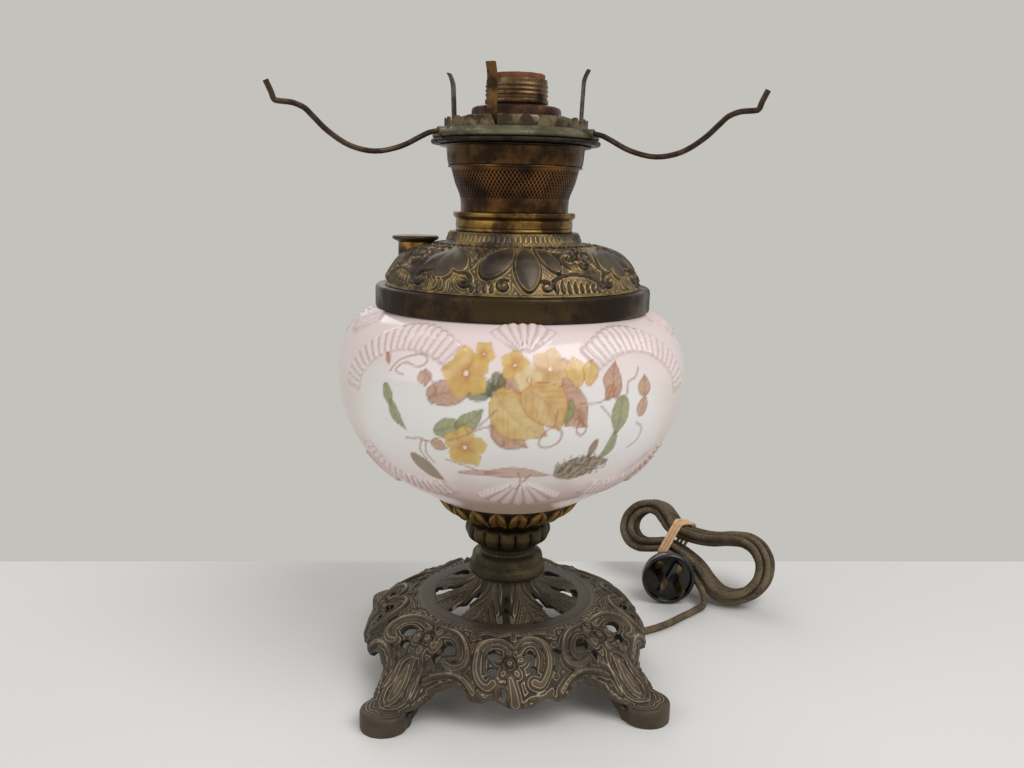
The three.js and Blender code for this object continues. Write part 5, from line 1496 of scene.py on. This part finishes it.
arm_reach, arm_drop, arm_start, wire_radius = 131.6, 11.4, 40.8, 1.35
lug_height, lug_place, lug_length = 297.4, 42.3, 6
arm_turns = [math.radians(60 + 120 * at) for at in range(3)]
arm_shares = [
    (0, 0), (0.0434, 0), (0.1014, -0.1), (0.155, -0.3), (0.2724, -0.75), (0.4174, -1), (0.558, -0.82),
    (0.6783, -0.28), (0.7609, 0.3), (0.8043, 0.6), (0.8652, 0.77), (0.9348, 0.8), (0.9594, 0.86),
    (0.9739, 1.15), (1, 1.58),
]
shape = turned([
    (38.3, 294.7), (42.9, 294.7), (43.6, 295.2), (43.8, 296.0), (43.5, 296.9), (42.6, 297.5), (40.6, 298.4),
    (39.6, 299.4), (38.8, 299.7), (38.3, 299.2),
], 128, 0.15)
for turn in arm_turns:
    spot = Matrix.Rotation(turn, 4, "Z") @ Matrix.Translation((0, -lug_place, lug_height))
    lug = bmesh.new()
    bmesh.ops.create_cone(
        lug, cap_ends=True, segments=24, radius1=2.5, radius2=2.2, depth=lug_length,
        matrix=spot @ Matrix.Rotation(math.pi / 2, 4, "X"),
    )
    soften(lug, 0.3)
    joined(shape, lug)
piece("tripod_ring", shape, pale_tin, "pale_tin", "shade_holder", "shade_ring")

wire_brass = old_brass("wire_brass", "4c3a2b", "30231a", 0.4, 0.7, 80)
arm_line = rounded([(lerp(arm_start, arm_reach, out), lug_height + up * arm_drop) for out, up in arm_shares], 4)
for at, turn in enumerate(arm_turns):
    line = [lamp_place @ standing(radius, turn, height) for radius, height in arm_line]
    name, node = f"arm_{at + 1}", f"shade_arm_{at + 1}"
    wire(name, [line], wire_radius / 1000, wire_brass, "dark_brass", "shade_holder", node, kind="POLY")


# Adapter and socket: a copper drum over the draft tube, and on it the brass
# socket with its threaded shell, fibre liner and inner screw shell.

copper_finish = old_brass("copper", "563729", "2e1c15", 0.34, 0.8, 55)
shape = turned([
    (22.3, 299.5), (23.5, 299.5), (23.5, 309.2), (22.9, 310.6), (21.5, 311.3),
    (5.1, 311.3), (5.1, 310.1), (22.3, 310.1),
], 96, 0.2)
piece("adapter", shape, copper_finish, "copper", "lamp_body", "adapter_disc")
socket_brass = old_brass("socket_brass", "6d5439", "33271c", 0.34, 0.85, 70)
shape = turned([
    (5.1, 311.6), (14.9, 311.6), (16.3, 312.7), (16.5, 313.3), (16.5, 314.8),
    (14.9, 314.8), (14.9, 312.6), (5.1, 312.6),
], 96, 0.15)
piece("socket_rim", shape, socket_brass, "aged_brass", "lamp_body", "socket_cap")

socket_inner, socket_outer, socket_foot, socket_top = 14.9, 15.9, 315.1, 324.8
thread_count, thread_top = 3, 323.2
thread_step = (socket_top - socket_foot) * 0.66 / thread_count
thread_shares = ((0, 0), (0.2, 0.12), (0.4, 0.45), (0.5, 0.5), (0.6, 0.45), (0.8, 0.12))
threads = [
    (socket_outer + out, socket_foot + thread_step / 2 + (at + share) * thread_step)
    for at in range(thread_count) for share, out in thread_shares
]
shape = turned([
    (socket_inner, socket_foot), (socket_outer, socket_foot), *threads, (socket_outer, thread_top),
    (socket_outer, socket_top), (socket_inner, socket_top),
], 96, 0.1)
piece("threaded_shell", shape, socket_brass, "aged_brass", "lamp_body", "socket_shell")


# Hidden parts: the rod with its nuts, the tank, the felts and the inside of the
# socket keep their plain solids and take a finish each.


def dress(material, *nodes):
    """Gives plain CAD nodes their finish."""
    for node in nodes:
        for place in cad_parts[node].material_slots:
            place.link = "OBJECT"
            place.material = material


fibre_finish = mottled("fibre", "64371f", "7f4b2e", 150, Roughness=0.85)
steel_finish = old_brass("steel", "77736b", "45423c", 0.4, 0.8, 90)
felt_finish = mottled("felt", "322b25", "4d443b", 500, Roughness=0.95)
porcelain_finish = mottled("porcelain", "d8d2c4", "e8e4da", 60, 2, Roughness=0.3)
tank_brass = old_brass("tank_brass", "7a5a30", "4a3520", 0.4, 0.8, 40)

dress(fibre_finish, "socket_liner")
dress(steel_finish, "tie_rod", "base_washer", "base_nut", "glass_plate", "rod_nut", "socket_nipple")
dress(felt_finish, "glass_cushion", "filler_gasket", "cord_bush")
dress(porcelain_finish, "socket_insulator")
dress(tank_brass, "oil_font", "draft_tube")
dress(aged_brass, "screw_shell", "centre_contact", "terminal_screw_1", "terminal_screw_2")
dress(cord_finish, "inner_cord")
